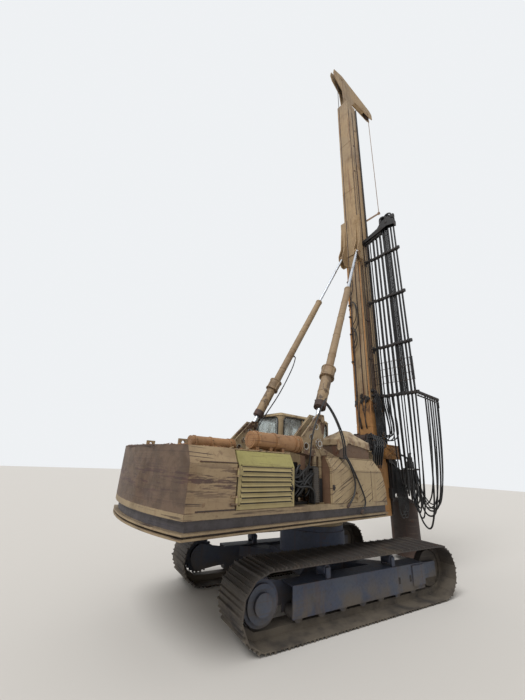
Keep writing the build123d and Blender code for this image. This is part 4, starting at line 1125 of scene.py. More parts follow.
addTube(form, at(1153, 820, 2180), at(1176, 820, 2180), 0.03)
addTube(form, at(1172, 820, 2180), at(1166, 700, 2700), 0.007)
addPlate(form, [at(1160, 672, 2460), at(1170, 672, 2460), at(1170, 728, 3010), at(1160, 728, 3010)],
    Vector((0, 0.008, 0)))
finishMesh("wiper", form, "dark_paint", "upper")
print("cab dressed")


# stays: gland rings, collars, a thin pipe and the hoses that leave their lower ends
stayLook = {
    "lowPin": (-980, 1000, 3100), "highPin": (2100, 290, 9200), "clampShares": (0.26, 0.36, 0.46, 0.56),
    "pipeShares": ((0.205, 0.1), (0.215, 0.106), (0.24, 0.1), (0.44, 0.1), (0.62, 0.1), (0.64, 0.092)),
    "pipeRadius": 0.009, "hoseRadius": 0.014,
}


def stayPoint(side, share):
    # a place on the line between a stay's lower and upper pins
    low, high = (Vector(stayLook[pin]) for pin in ("lowPin", "highPin"))
    place = low + (high - low) * share
    return at(place.x, side * place.y, place.z)


for side, sideName in ((1, "left"), (-1, "right")):
    along = (stayPoint(side, 1) - stayPoint(side, 0)).normalized()
    out = along.cross(Vector((0, 1, 0))).normalized()
    away = along.cross(out).normalized() * side
    body = "stay_" + sideName
    form = bmesh.new()
    low, high = stayPoint(side, 0.045), stayPoint(side, 0.66)
    addRing(form, stayPoint(side, 0.158) + along * 0.012, along, 0.162, 0.1, 0.026)
    addRing(form, stayPoint(side, 0.198) - along * 0.012, along, 0.162, 0.08, 0.026)
    addRing(form, stayPoint(side, 0.1), along, 0.118, 0.1, 0.03)
    addRing(form, high - along * 0.02, along, 0.097, 0.05, 0.05)
    addRing(form, high + along * 0.018, along, 0.066, 0.044, 0.036)
    for share in stayLook["clampShares"]:
        addRing(form, stayPoint(side, share), along, 0.093, 0.08, 0.022)
    for turn in (0, 90, 180, 270):
        ear = out * math.cos(math.radians(turn)) + away * math.sin(math.radians(turn))
        addTube(form, stayPoint(side, 0.16) + ear * 0.15, stayPoint(side, 0.196) + ear * 0.15, 0.02, 10)
    finishMesh("stayRings" + sideName.capitalize(), form, "stayTan", body)
    form = bmesh.new()
    addRing(form, low + along * 0.05, along, 0.122, 0.1, 0.13)
    addRing(form, low - along * 0.008, along, 0.1, 0.052, 0.04)
    if side < 0:
        for share, way, radius in ((0.07, -out, 0.026), (0.075, away, 0.024)):
            foot = stayPoint(side, share)
            addTube(form, foot + way * 0.09, foot + way * 0.16, radius, 12)
    finishMesh("stayGland" + sideName.capitalize(), form, "rusty_steel", body)
    boltRing(body, stayPoint(side, 0.158) - along * 0.002, -along, 0.135, 12, 0.8)
    boltRing(body, stayPoint(side, 0.198) + along * 0.002, along, 0.125, 12, 0.8)
    boltRing(body, high + along * 0.006, along, 0.08, 8, 0.6)
    route = [stayPoint(side, share) - out * reach for share, reach in stayLook["pipeShares"]]
    hoseRun("stayPipe" + sideName.capitalize(), [route], stayLook["pipeRadius"], "rusty_steel", body)
    form = bmesh.new()
    addRing(form, stayPoint(side, 1), (0, 1, 0), 0.086, 0.045, 0.062)
    finishMesh("stayEye" + sideName.capitalize(), form, "mast_paint", "stay_rod_" + sideName)

# free hoses of the stays: side, route and length
stayHoses = {
    "stayHoseFront": {"side": -1, "length": 1.11, "route": [(-700, -965, 3520), (-650, -1010, 3440),
        (-610, -1120, 3240), (-590, -1230, 2980), (-580, -1290, 2760), (-572, -1300, 2600),
        (-560, -1290, 2500)]},
    "stayHoseFrontNext": {"side": -1, "length": 1.17, "route": [(-700, -940, 3560), (-620, -980, 3500),
        (-560, -1100, 3280), (-535, -1220, 3000), (-520, -1290, 2770), (-512, -1300, 2600),
        (-500, -1290, 2500)]},
    "stayHoseRear": {"side": -1, "length": 2.03, "route": [(-800, -1105, 3540), (-880, -1160, 3520),
        (-1080, -1215, 3330), (-1290, -1235, 3010), (-1410, -1240, 2700), (-1420, -1215, 2380),
        (-1395, -1120, 2110), (-1385, -980, 1930), (-1385, -870, 1880)]},
    "stayHoseLeft": {"side": 1, "length": 2.76, "route": [(220, 735, 5110), (150, 700, 4920),
        (-80, 690, 4480), (-420, 700, 3900), (-760, 760, 3400), (-960, 820, 3050), (-1050, 850, 2820),
        (-1085, 862, 2700)]},
}
for name, look in stayHoses.items():
    sideName = "left" if look["side"] > 0 else "right"
    route = [at(*place) for place in look["route"]]
    piece, path = meshHose(name, route, stayLook["hoseRadius"], "hose_rubber")
    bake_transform(piece)
form = bmesh.new()
port = at(*stayHoses["stayHoseLeft"]["route"][0])
addTube(form, port + Vector((-0.01, 0.03, 0.01)), port + Vector((-0.02, 0.05, 0.05)), 0.022, 12)
finishMesh("stayPortLeft", form, "rusty_steel", "stay_left")
print("stays dressed")


# stay brackets: boss rings, toe plates, foot plates and strut saddles
bracketLook = {
    "across": 1000, "boss": (-1090, 2660), "pin": (-980, 3100),
    "rim": ((-1010, 2440), (-960, 2600), (-880, 3040), (-900, 3190), (-1060, 3200), (-1500, 2760)),
    "toe": ((-1010, 2720), (-965, 2600), (-560, 2466), (-640, 2462), (-1000, 2462), (-1060, 2560)),
    "bolts": ((-1460, 2530), (-1460, 2740), (-1330, 2500), (-1180, 2480), (-930, 3120), (-1000, 3150)),
}
bossX, bossZ = bracketLook["boss"]
pinX, pinZ = bracketLook["pin"]
for side, sideName in ((1, "left"), (-1, "right")):
    middle = side * bracketLook["across"]
    form = bmesh.new()
    for sign in (-1, 1):
        near = middle + sign * 106
        rim = [at(x, near, z) for x, z in bracketLook["rim"]]
        for start, end in zip(rim, rim[1:]):
            addTube(form, start, end, 0.011, 8)
        toe = [at(x, near - sign * 4, z) for x, z in bracketLook["toe"]]
        addPlate(form, toe, Vector((0, sign * 0.01, 0)), 0.002)
    addBox(form, at(-960, middle - 112, 2461), at(-560, middle + 112, 2473), 0.004)
    for x in (-900, -760, -640):
        top = 2484 + (-560 - x) * 0.3
        rib = [at(x, middle + half, z) for half, z in ((-100, 2472), (100, 2472), (100, top), (-100, top))]
        addPlate(form, rib, Vector((0.01, 0, 0)))
    finishMesh("bracketToes" + sideName.capitalize(), form, "bracketRust", "upper")
    form = bmesh.new()
    for sign in (-1, 1):
        face = middle + sign * 137
        for radius, thick in ((70, 12), (44, 24), (20, 38)):
            inner, outer = at(bossX, face - sign * 2, bossZ), at(bossX, face + sign * thick, bossZ)
            addTube(form, inner, outer, radius / 1000, 28)
        addTube(form, at(pinX, middle + sign * 120, pinZ), at(pinX, middle + sign * 148, pinZ), 0.052, 20)
    finishMesh("bossCaps" + sideName.capitalize(), form, "stayTan", "upper")
    form = bmesh.new()
    for sign in (-1, 1):
        addRing(form, at(bossX, middle + sign * 140, bossZ), (0, 1, 0), 0.09, 0.077, 0.012)
        addRing(form, at(bossX, middle + sign * 156, bossZ), (0, 1, 0), 0.056, 0.042, 0.012)
        for x, z, radius in ((-1395, 2600, 60), (-1260, 2770, 52), (-1120, 2960, 58)):
            centre = at(x, middle + sign * 106, z)
            addRing(form, centre, (0, 1, 0), radius / 1000, (radius - 10) / 1000, 0.012, 20)
    finishMesh("bossRings" + sideName.capitalize(), form, "bare_steel", "upper")
    for sign in (-1, 1):
        boltRing("upper", at(bossX, middle + sign * 147, bossZ), (0, sign, 0), 0.083, 8, 0.55)
        boltRing("upper", at(pinX, middle + sign * 128, pinZ), (0, sign, 0), 0.074, 6, 0.6)
        for x, z in bracketLook["bolts"]:
            boltAt("upper", at(x, middle + sign * 103, z), (0, sign, 0), 0.8)
form = bmesh.new()
for side in (-1, 1):
    middle = side * bracketLook["across"]
    for x in (-2480, -2100, -1640):
        for sign in (-1, 1):
            y = middle + sign * 146
            addBox(form, at(x - 18, y - 12, 2560), at(x + 18, y + 12, 2680), 0.003)
            boltAt("upper", at(x, y, 2682), (0, 0, 1), 0.9)
    for x in (-1560, -1520):
        addRing(form, at(x, middle, 2620), (1, 0, 0), 0.146, 0.129, 0.02, 32)
    addRing(form, at(-2569, middle, 2620), (1, 0, 0), 0.1, 0.07, 0.01, 32)
finishMesh("strutClamps", form, "strutOrange", "upper")
print("brackets dressed")


# engine bay and its hoses, seen between the louvred door and the front box
form = bmesh.new()
for k in range(17):
    z = 1712 + k * 32
    addTube(form, at(-1180, -1110, z), at(-1180, -1110, z + 16), 0.078, 20)
    addTube(form, at(-1180, -1110, z + 14), at(-1180, -1110, z + 34), 0.062, 20)
finishMesh("bayBellows", form, "greyHose", "upper")
form = bmesh.new()
addBox(form, at(-1830, -1010, 1672), at(-1250, -985, 1712), 0.004)
addBox(form, at(-1820, -960, 1980), at(-1400, -880, 2060), 0.01)
for k in range(5):
    x = -1700 + k * 78
    addTube(form, at(x, -740, 2088), at(x, -740, 2112), 0.034, 12)
    for z in (1780, 1900):
        addTube(form, at(x, -860, z), at(x, -905, z), 0.024, 10)
addTube(form, at(-1250, -600, 1670), at(-1250, -600, 2330), 0.12, 24)
addBox(form, at(-1100, -1120, 1672), at(-985, -760, 2080), 0.01)
finishMesh("bayParts", form, "dark_paint", "upper")
random.seed(21)
routes = []
for k in range(14):
    x = -1720 + (k % 5) * 84
    z = 1780 if k < 5 else 1900 if k < 10 else 2010
    drop = random.uniform(-60, 60)
    far = -1080 - random.uniform(0, 60)
    endX = random.uniform(-1560, -1010)
    routes.append([
        at(x, -890, z), at(x, -960, z), at(x + random.uniform(-60, 60), far, z + 40 + drop),
        at((x + endX) / 2, far - 20, 2180 + drop * 2), at(endX, far, 2240 + drop), at(endX + 20, -900, 2120),
        at(endX + 10, -700, 1900), at(endX, -640, 1760),
    ])
hoseRun("bayHoses", routes, 0.017, "hose_rubber", "upper")
routes = []
for k in range(4):
    y = -1060 - k * 34
    routes.append([
        at(-1820, y, 2180 - k * 40), at(-1700, y - 20, 2120 - k * 60), at(-1480, y, 2230 - k * 90),
        at(-1320, y + 10, 2060 - k * 40), at(-1240, y, 1840), at(-1240, y + 20, 1690),
    ])
hoseRun("bayFrontHoses", routes, 0.02, "hose_rubber", "upper")
print("bay filled")


# two long hoses that hang over the front box's door, and their clip
doorHoses = {
    "doorHoseRear": {"length": 0.95, "route": [(-1.029, -1.3, 2.47), (-0.985, -1.322, 2.415),
        (-0.86, -1.335, 2.25), (-0.775, -1.338, 2.02), (-0.83, -1.336, 1.83), (-0.925, -1.33, 1.72),
        (-0.99, -1.318, 1.66)]},
    "doorHoseFront": {"length": 1.11, "route": [(-0.984, -1.3, 2.47), (-0.94, -1.324, 2.42),
        (-0.779, -1.336, 2.19), (-0.6, -1.34, 1.93), (-0.485, -1.338, 1.73), (-0.51, -1.334, 1.62),
        (-0.585, -1.322, 1.545)]},
}
for name, look in doorHoses.items():
    piece, path = meshHose(name, look["route"], 0.015, "hose_rubber")
    endBody = "upper" if name == "doorHoseFront" else "box_door"
    if endBody == "upper":
        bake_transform(piece)
    else:
        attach(piece, "box_door")
    last, before = Vector(look["route"][-1]), Vector(look["route"][-2])
    ahead = (last - before).normalized()
    form = bmesh.new()
    addTube(form, last - ahead * 0.03, last + ahead * 0.05, 0.02, 12)
    addTube(form, last - ahead * 0.005, last + ahead * 0.02, 0.025, 6)
    fitting = finishMesh(name + "End", form, "rusty_steel", endBody)
form = bmesh.new()
addBox(form, at(-590, -1310, 2428), at(-480, -1196, 2452), 0.004)
for x in (-560, -509):
    addTube(form, at(x, -1296, 2420), at(x, -1296, 2500), 0.022, 12)
finishMesh("doorHoseClip", form, "dark_paint", "box_door")
print("door hoses hung")


# side panels: louvre blades, dark strips between them as painted shadow, frames, handles and seam strips
louvreLook = {"middle": -2425, "low": 1797, "blades": 7, "step": 0.066, "wide": 0.956, "tilt": 36}
for side, body, sideName in ((-1, "louvre_door", "Right"), (1, "upper", "Left")):
    middle, low, count, wide = (louvreLook[key] for key in ("middle", "low", "blades", "wide"))
    step = (0, 0, louvreLook["step"])
    tilt = (side * math.radians(louvreLook["tilt"]), 0, 0)
    starts = [at(middle, side * 1303, low)]
    barRow("louvreBlades" + sideName, starts, count, step, (wide, 0.005, 0.046), "louvre", body, tilt)
    # dark strips between the louvre blades: painted shadow of the gaps
    starts = [at(middle, side * 1301, low - 28)]
    barRow("louvreGaps" + sideName, starts, count + 1, step, (wide, 0.003, 0.02), "dark_paint", body)
    form = bmesh.new()
    for z0, z1 in ((1738, 1760), (2232, 2250)):
        addBox(form, at(-2930, side * 1299 - 4, z0), at(-1920, side * 1299 + 4, z1), 0.002)
    for x0 in (-2930, -1940):
        addBox(form, at(x0, side * 1299 - 4, 1738), at(x0 + 20, side * 1299 + 4, 2250), 0.002)
    finishMesh("louvreFrame" + sideName, form, "louvre", body)
    starts = [at(-1948, side * 1306, low)]
    barRow("louvreEnds" + sideName, starts, count, step, (0.02, 0.008, 0.034), "dark_paint", body)
form = bmesh.new()
addBox(form, at(-1975, -1312, 1900), at(-1915, -1298, 1990), 0.004)
addTube(form, at(-1945, -1330, 1945), at(-1945, -1308, 1945), 0.02, 12)
finishMesh("louvreLatch", form, "dark_paint", "louvre_door")
form = bmesh.new()
addBox(form, at(-935, -1312, 1900), at(-885, -1298, 1990), 0.004)
addTube(form, at(-910, -1328, 1945), at(-910, -1308, 1945), 0.018, 12)
finishMesh("boxDoorLatch", form, "dark_paint", "box_door")
form = bmesh.new()
for side in (-1, 1):
    addBox(form, at(-3560, side * 1300 - 3, 1694), at(-2975, side * 1300 + 3, 1712), 0.001)
    addTube(form, at(-3560, side * 1296, 2268), at(-2966, side * 1296, 2268), 0.007, 8)
    addBox(form, at(-2969, side * 1300 - 4, 1700), at(-2963, side * 1300 + 4, 2250))
addTube(form, at(-3895, -560, 2440), at(-3895, 560, 2440), 0.008, 8)
finishMesh("tailSeams", form, "rusty_steel", "upper")
form = bmesh.new()
addBox(form, at(-205, -1303, 2210), at(800, -1298, 2216))
addBox(form, at(290, -1304, 1700), at(296, -1298, 2240))
finishMesh("frontSeams", form, "rusty_steel", "upper")
form = bmesh.new()
for side in (-1, 1):
    addBox(form, at(-2940, side * 900 - 12, 2461), at(-1900, side * 900 + 12, 2470), 0.002)
    addTube(form, at(-2700, side * 600, 2470), at(-2700, side * 760, 2500), 0.01)
    addTube(form, at(-2300, side * 600, 2500), at(-2300, side * 760, 2500), 0.012)
addBox(form, at(-2600, -420, 2461), at(-2140, 420, 2478), 0.006)
addTube(form, at(-2050, -300, 2455), at(-2050, -300, 2640), 0.05)
addTube(form, at(-2050, -300, 2640), at(-2110, -300, 2700), 0.05)
finishMesh("roofFittings", form, "tan_paint", "upper")
print("panels dressed")


# fallen leaves and twigs on the flat tops
# patches: two corners, height and leaves to a square metre
leafLook = {"length": 0.05, "seed": 5, "patches": (
    ((-3780, -1080), (-3000, 1080), 2462, 190), ((-2940, -1150), (-1900, 1150), 2463, 110),
    ((-900, -1130), (500, -600), 2463, 60),
)}
littering = leafTree()
for number, (low, high, z, density) in enumerate(leafLook["patches"]):
    plan = ((low[0], low[1]), (high[0], low[1]), (high[0], high[1]), (low[0], high[1]))
    corners = [at(x, y, z + 4) for x, y in plan]
    mesh = bpy.data.meshes.new(f"leafPatch{number}")
    mesh.from_pydata([tuple(c) for c in corners], [], [(0, 1, 2, 3)])
    values = {
        "Density": float(density), "Seed": leafLook["seed"] + number, "Leaf Length": leafLook["length"],
        "Material": finishes["dryLeaf"],
    }
    runTree(f"fallenLeaves{number}", littering, mesh, values, "dryLeaf", "upper")
random.seed(33)
routes = []
for k in range(46):
    x, y = random.uniform(-3600, -2700), random.uniform(-900, 700)
    turn, reach = random.uniform(0.2, 1.8), random.uniform(120, 340)
    alongX, alongY = math.cos(turn) * reach, math.sin(turn) * reach
    bend = at(x + alongX / 2, y + alongY / 2, 2486 + random.uniform(0, 26))
    routes.append([at(x, y, 2470), bend, at(x + alongX, y + alongY, 2470)])
hoseRun("fallenTwigs", routes, 0.005, "dryLeaf", "upper", 0)
print("leaves fallen")


# mast: band plates, dark strips and discs as painted shade in the grooves and holes, pipes, clamp cylinder and
# rear lip in a painted highlight, weld seams and wear
mastLook = {"bandThick": 5, "low": 4140, "high": 17300}
form = bmesh.new()
for side in (-1, 1):
    near, far = sorted((side * 250, side * (250 + mastLook["bandThick"])))
    addBox(form, at(2662, near, mastLook["low"]), at(2880, far, mastLook["high"]), 0.003)
    addBox(form, at(2372, near, mastLook["low"]), at(2590, far, mastLook["high"] - 200), 0.003)
    near, far = sorted((side * 250, side * 262))
    addBox(form, at(2292, near, 4160), at(2330, far, 9600), 0.003)
finishMesh("mastBands", form, "mast_paint", "mast")
form = bmesh.new()
for z, tall in ((4120, 26), (6900, 9), (9690, 16), (12300, 9), (14900, 9)):
    addBox(form, at(2292, -256, z - tall), at(2896, 256, z + tall), 0.004)
for z in (1300, 2300, 3400):
    addBox(form, at(2290, -258, z - 10), at(2898, 258, z + 10), 0.003)
finishMesh("mastRings", form, "mastFoot", "mast")
# thin dark strips on the mast's sides: painted shade of the grooves between its bands
form = bmesh.new()
for side in (-1, 1):
    near, far = sorted((side * 250, side * 253))
    addBox(form, at(2600, near, 4150), at(2652, far, 17000))
    addBox(form, at(2336, near, 4150), at(2366, far, 17000))
finishMesh("mastGrooveShade", form, "rusty_steel", "mast")
# the rear lip strips carry the painted highlight of the sunlit rear edge
form = bmesh.new()
for z0, z1 in ((1180, 3400), (3480, 8880)):
    for side in (-1, 1):
        addBox(form, at(2286, side * 232 - 16, z0), at(2301, side * 232 + 16, z1), 0.002)
finishMesh("mastRearLip", form, "mastEdgeHighlight", "mast")
# thin dark strips beside and between the rear plates: painted shade of the gaps
form = bmesh.new()
for y0, y1, z0, z1 in ((-62, -34, 4160, 8890), (150, 172, 4160, 6400), (-192, -178, 4160, 8890)):
    addBox(form, at(2297, y0, z0), at(2301, y1, z1))
finishMesh("mastRearGrooveShade", form, "rusty_steel", "mast")
form = bmesh.new()
rearPlates = (
    (-30, 146, 4160, 5100), (-30, 146, 5160, 7300), (-30, 200, 7360, 8880), (-174, -66, 4160, 6200),
    (-174, -66, 6260, 8880),
)
for y0, y1, z0, z1 in rearPlates:
    addBox(form, at(2293, y0, z0), at(2301, y1, z1), 0.003)
finishMesh("mastRearPlates", form, "mast_paint", "mast")
routes = [
    [at(2348, -264, 4600), at(2348, -264, 6400), at(2350, -264, 9300)],
    [at(2624, -262, 4500), at(2624, -262, 8600), at(2624, -262, 13800)],
    [at(2286, -48, 4160), at(2284, -48, 6000), at(2286, -48, 8860)],
    [at(2284, 188, 4160), at(2282, 188, 5000), at(2284, 188, 7500), at(2284, 150, 8100), at(2284, 120, 8860)],
]
hoseRun("mastPipes", routes, 0.011, "rusty_steel", "mast")
routes = []
# where each looped hose starts and where its loop is lowest, across and up
loopedHoses = (
    (210, 7350, -10, 6900), (196, 7300, -60, 6650), (224, 6420, 60, 6200), (206, 6380, 20, 6050),
    (180, 8380, 60, 8000),
)
for y0, z0, y1, z1 in loopedHoses:
    routes.append([
        at(2280, y0, z0), at(2225, y0 - 20, z0 + 120), at(2205, y1 + 30, z0 + 60),
        at(2200, y1 - 40, (z0 + z1) / 2), at(2205, y1 - 20, z1 - 150), at(2230, y0 - 50, z1 - 330),
        at(2280, y0 + 10, z1 - 430),
    ])
hoseRun("mastLoopedHoses", routes, 0.014, "hose_rubber", "mast")
# the clamp cylinder on the lit rear edge is in the same painted highlight
form = bmesh.new()
addTube(form, at(2248, 222, 5300), at(2248, 222, 6350), 0.03)
addTube(form, at(2248, 222, 6350), at(2248, 222, 6900), 0.018)
addTube(form, at(2248, 222, 7300), at(2248, 222, 8300), 0.025)
finishMesh("clampCylinder", form, "mastEdgeHighlight", "mast")
form = bmesh.new()
for z in (5360, 6290, 6920, 7340, 8250):
    addBox(form, at(2206, 190, z - 22), at(2300, 250, z + 22), 0.006)
random.seed(9)
for k in range(15):
    y, z = random.uniform(-215, 215), random.uniform(4060, 4320)
    wide, tall, deep = random.uniform(18, 44), random.uniform(22, 66), random.uniform(24, 80)
    addBox(form, at(2300 - deep, y - wide, z - tall), at(2301, y + wide, z + tall), 0.007)
    addTube(form, at(2300 - deep, y, z), at(2284 - deep, y, z), 0.015, 10)
finishMesh("mastRearValves", form, "dark_paint", "mast")
routes = []
for y, z, sway in ((-150, 4180, 70), (-20, 4260, -60), (60, 4120, 40), (170, 4200, -90)):
    routes.append([
        at(2270, y, z), at(2222, y + 8, z - 60), at(2206, y + sway * 0.4, z - 330), at(2226, y + sway, 3640),
        at(2262, y + sway * 1.2, 3380), at(2296, y + sway, 3330),
    ])
hoseRun("mastRearHoses", routes, 0.012, "hose_rubber", "mast")
form = bmesh.new()
random.seed(8)
for k in range(16):
    x, z = random.uniform(2330, 2700), random.uniform(4090, 4420)
    wide, tall, deep = random.uniform(22, 60), random.uniform(24, 70), random.uniform(30, 90)
    addBox(form, at(x - wide, -250 - deep, z - tall), at(x + wide, -250, z + tall), 0.007)
    addTube(form, at(x, -250 - deep, z), at(x, -268 - deep, z), 0.016, 10)
finishMesh("mastValves", form, "dark_paint", "mast")
routes = []
for k in range(9):
    x = 2350 + k * 38
    z = 4180 + (k * 67) % 180
    sway = (k % 3 - 1) * 36
    routes.append([
        at(x, -330, z), at(x + 6, -372, z - 30), at(x + sway, -380, z - 240), at(2480 + k * 18, -330, 3600),
        at(2460 + k * 22 + sway, -300, 3250), at(2470 + k * 26, -290, 2980), at(2480 + k * 26, -300, 2912),
    ])
hoseRun("valveHoses", routes, 0.013, "hose_rubber", "mast")
# dark discs and strips on the mast's side: painted shade in its holes and slots
form = bmesh.new()
for x, z in ((2450, 13300), (2540, 14800), (2740, 15900)):
    addTube(form, at(x, -250, z), at(x, -260, z), 0.045, 16)
addBox(form, at(2500, -260.5, 11300), at(2514, -257.5, 14400))
addBox(form, at(2760, -260.5, 5200), at(2772, -257.5, 6100))
finishMesh("mastHoleShade", form, "rusty_steel", "mast")
for z in (4120, 9690):
    for x in range(2350, 2820, 90):
        boltAt("mast", at(x, -256, z), (0, -1, 0), 0.9)
        boltAt("mast", at(x, 256, z), (0, 1, 0), 0.9)
# foot block: cross ribs on its outer face and a bolted rim
form = bmesh.new()
for z0, z1 in ((2590, 2870), (2870, 2590)):
    addTube(form, at(2300, -562, z0), at(3010, -562, z1), 0.018, 8)
rims = ((2262, 2296, 2552, 2908), (3014, 3048, 2552, 2908), (2262, 3048, 2876, 2908), (2262, 3048, 2552, 2584))
for x0, x1, z0, z1 in rims:
    addBox(form, at(x0, -572, z0), at(x1, -556, z1), 0.004)
addTube(form, at(2655, -556, 2730), at(2655, -580, 2730), 0.06, 20)
finishMesh("footBlockRibs", form, "ochre_paint", "mast")
boltRing("mast", at(2655, -560, 2730), (0, -1, 0), 0.1, 8, 0.8)

# bank of valves on the cradle's shelf, with its hoses
form = bmesh.new()
random.seed(4)
for k in range(15):
    x, z = random.uniform(1560, 1990), random.uniform(2700, 2900)
    addBox(form, at(x - 34, -622, z - 34), at(x + 34, -588, z + 34), 0.006)
    addTube(form, at(x, -620, z), at(x, -652, z), 0.016, 10)
for k in range(5):
    addTube(form, at(1590 + k * 95, -500, 2936), at(1590 + k * 95, -500, 2966), 0.022, 12)
addBox(form, at(1500, -640, 2600), at(2040, -628, 2692), 0.004)
finishMesh("shelfValves", form, "dark_paint", "upper")
shelfRoutes = (
    ((20, -650, 3060), (-10, -680, 2880), (-30, -668, 2700), (-60, -640, 2480), (-40, -600, 2300)),
    ((0, -640, 2760), (0, -700, 2770), (50, -745, 2840), (90, -700, 2960), (70, -600, 3040), (30, -470, 2990),
        (20, -380, 2860)),
    ((0, -640, 2860), (-10, -700, 2880), (-60, -720, 2740), (-90, -690, 2560), (-60, -640, 2380)),
)
routes = []
for k in range(5):
    x = 1590 + k * 95
    risen = ((0, -500, 2960), (0, -505, 3040 + k * 12), (30, -570, 3130 - k * 20))
    for places in (risen + shelfRoutes[0], shelfRoutes[1], shelfRoutes[2]):
        routes.append([at(x + shift, y, z) for shift, y, z in places])
hoseRun("shelfHoses", routes, 0.016, "hose_rubber", "upper")
print("mast dressed")


# ropes and the rope wound on the winch
ropeLook = {"radius": 0.013, "turns": 12, "drum": 0.128, "steps": 16, "side": 168}
rearRope = [at(2030, 0, z) for z in (19150, 12000, 3120)]
hoseRun("rearRope", [rearRope], ropeLook["radius"], "rusty_steel", "mast", 1)
turns = []
windings = ropeLook["turns"] * ropeLook["steps"]
for k in range(windings + 1):
    a = 2 * math.pi * k / ropeLook["steps"]
    middle = at(2110, ropeLook["side"] * (2 * k / windings - 1), 3010)
    turns.append(middle + Vector((math.cos(a), 0, math.sin(a))) * (ropeLook["drum"] + 0.004))
hoseRun("woundRope", [turns], ropeLook["radius"], "rusty_steel", "mast", 1)
for x, z in ((2600, 17900), (2780, 17900), (2420, 17900), (4410, 19100), (2240, 19150)):
    for side in (-1, 1):
        boltRing("mast", at(x, side * 95, z), (0, side, 0), 0.06, 6, 0.8)
print("ropes hung")


# hose bundle: arms, straight hoses, the saddle they turn over, clamps and the guard lattice
bundleLook = {
    "levels": (9000, 7390, 5760, 4270), "rear": (-500, -640, -760, -900, -985, -1070, -1190, -1290, -1385),
    "front": (-570, -700, -830, -1030, -1130, -1240, -1340), "extra": (-1012, -1052, -1100, -1160),
    "thin": (-318, -372, -436, -600), "radius": 0.021, "saddleFoot": 9700,
    "saddle": (
        (-250, 70), (-250, 190), (-560, 280), (-850, 380), (-960, 520), (-1080, 590),
        (-1300, 600), (-1400, 540), (-1440, 400), (-1430, 230), (-1180, 300), (-900, 210),
    ),
    "turned": (
        (-960, -1200), (-1000, -1240), (-1040, -1290), (-1090, -1330),
        (-1140, -1370), (-930, -1130), (-1000, -1320), (-1060, -1400),
    ),
}
saddleFoot = bundleLook["saddleFoot"]
outline = [(y, saddleFoot + rise) for y, rise in bundleLook["saddle"]]
form = bmesh.new()
for z in bundleLook["levels"]:
    addBox(form, at(2618, -1440, z - 32), at(2682, -250, z + 32), 0.006)
    addBox(form, at(2560, -266, z - 120), at(2740, -250, z + 120), 0.005)
    addPlate(form, [at(2638, -250, z - 30), at(2638, -250, z - 110), at(2638, -470, z - 30)],
        Vector((0.024, 0, 0)))
    addTube(form, at(2650, -1440, z - 40), at(2650, -1440, z + 40), 0.045, 20)
    for y in bundleLook["rear"]:
        addBox(form, at(2596, y - 30, z - 46), at(2706, y + 30, z + 46), 0.008)
    for y in bundleLook["front"]:
        addBox(form, at(2680, y - 34, z - 30), at(2752, y + 34, z + 30), 0.006)
    boltRing("mast", at(2650, -267, z), (0, -1, 0), 0.09, 6, 0.8)
addBox(form, at(2618, -1440, 4240), at(4020, -1380, 4300), 0.006)
for sideX in (2560, 2716):
    addPlate(form, [at(sideX, y, z) for y, z in outline], Vector((0.024, 0, 0)), 0.003)
for (y0, z0), (y1, z1) in zip(outline[1:9], outline[2:10]):
    strip = [at(2570, y, z) for y, z in ((y0, z0 - 12), (y1, z1 - 12), (y1, z1 - 24), (y0, z0 - 24))]
    addPlate(form, strip, Vector((0.16, 0, 0)))
arms = finishMesh("hoseArms", form, "dark_paint", "mast")
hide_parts("hose_bundle")
routes = []
# row, its place along the rig, its foot, and its tops where the saddle is low and where it is high
hoseRows = (
    ("rear", 2650, 4240, 9860, 10180), ("front", 2718, 4200, 9840, 10150), ("extra", 2684, 4260, 10120, 10120),
)
for row, x, foot, lowTop, highTop in hoseRows:
    for y in bundleLook[row]:
        top = lowTop if y > -900 else highTop
        routes.append([at(x, y, z) for z in (foot, 5760, 7390, 9000, 9300, top)])
hoseRun("bundleHoses", routes, bundleLook["radius"], "hose_rubber", "mast")
routes = [[at(2650, y, z) for z in (4290, 6500, 9740)] for y in bundleLook["thin"]]
hoseRun("bundleThinHoses", routes, 0.009, "hose_rubber", "mast", 1)
routes = []
for k, (y0, y1) in enumerate(bundleLook["turned"]):
    x = 2592 + (k % 4) * 42
    top = 10420 + (k % 3) * 34
    bend = [(y0, 10290), (y0 - 10, top), ((y0 + y1) / 2, top + 30), (y1 + 10, top - 20), (y1, 10280)]
    routes.append([at(x, y, z) for y, z in [(y0, 10120), *bend, (y1, 10060)]])
hoseRun("saddleHoses", routes, 0.025, "hose_rubber", "mast")
form = bmesh.new()
random.seed(12)
for k in range(22):
    y, x = random.uniform(-1400, -960), random.uniform(2580, 2720)
    z = 10080 + random.uniform(0, 300)
    wide, tall = random.uniform(20, 44), random.uniform(26, 70)
    addBox(form, at(x - wide, y - wide, z - tall), at(x + wide, y + wide, z + tall), 0.01)
for k in range(14):
    y = -300 - k * 48
    foot = saddleFoot + k * 10
    addBox(form, at(2600, y - 18, foot), at(2710, y + 18, foot + 130), 0.006)
finishMesh("saddleClamps", form, "dark_paint", "mast")
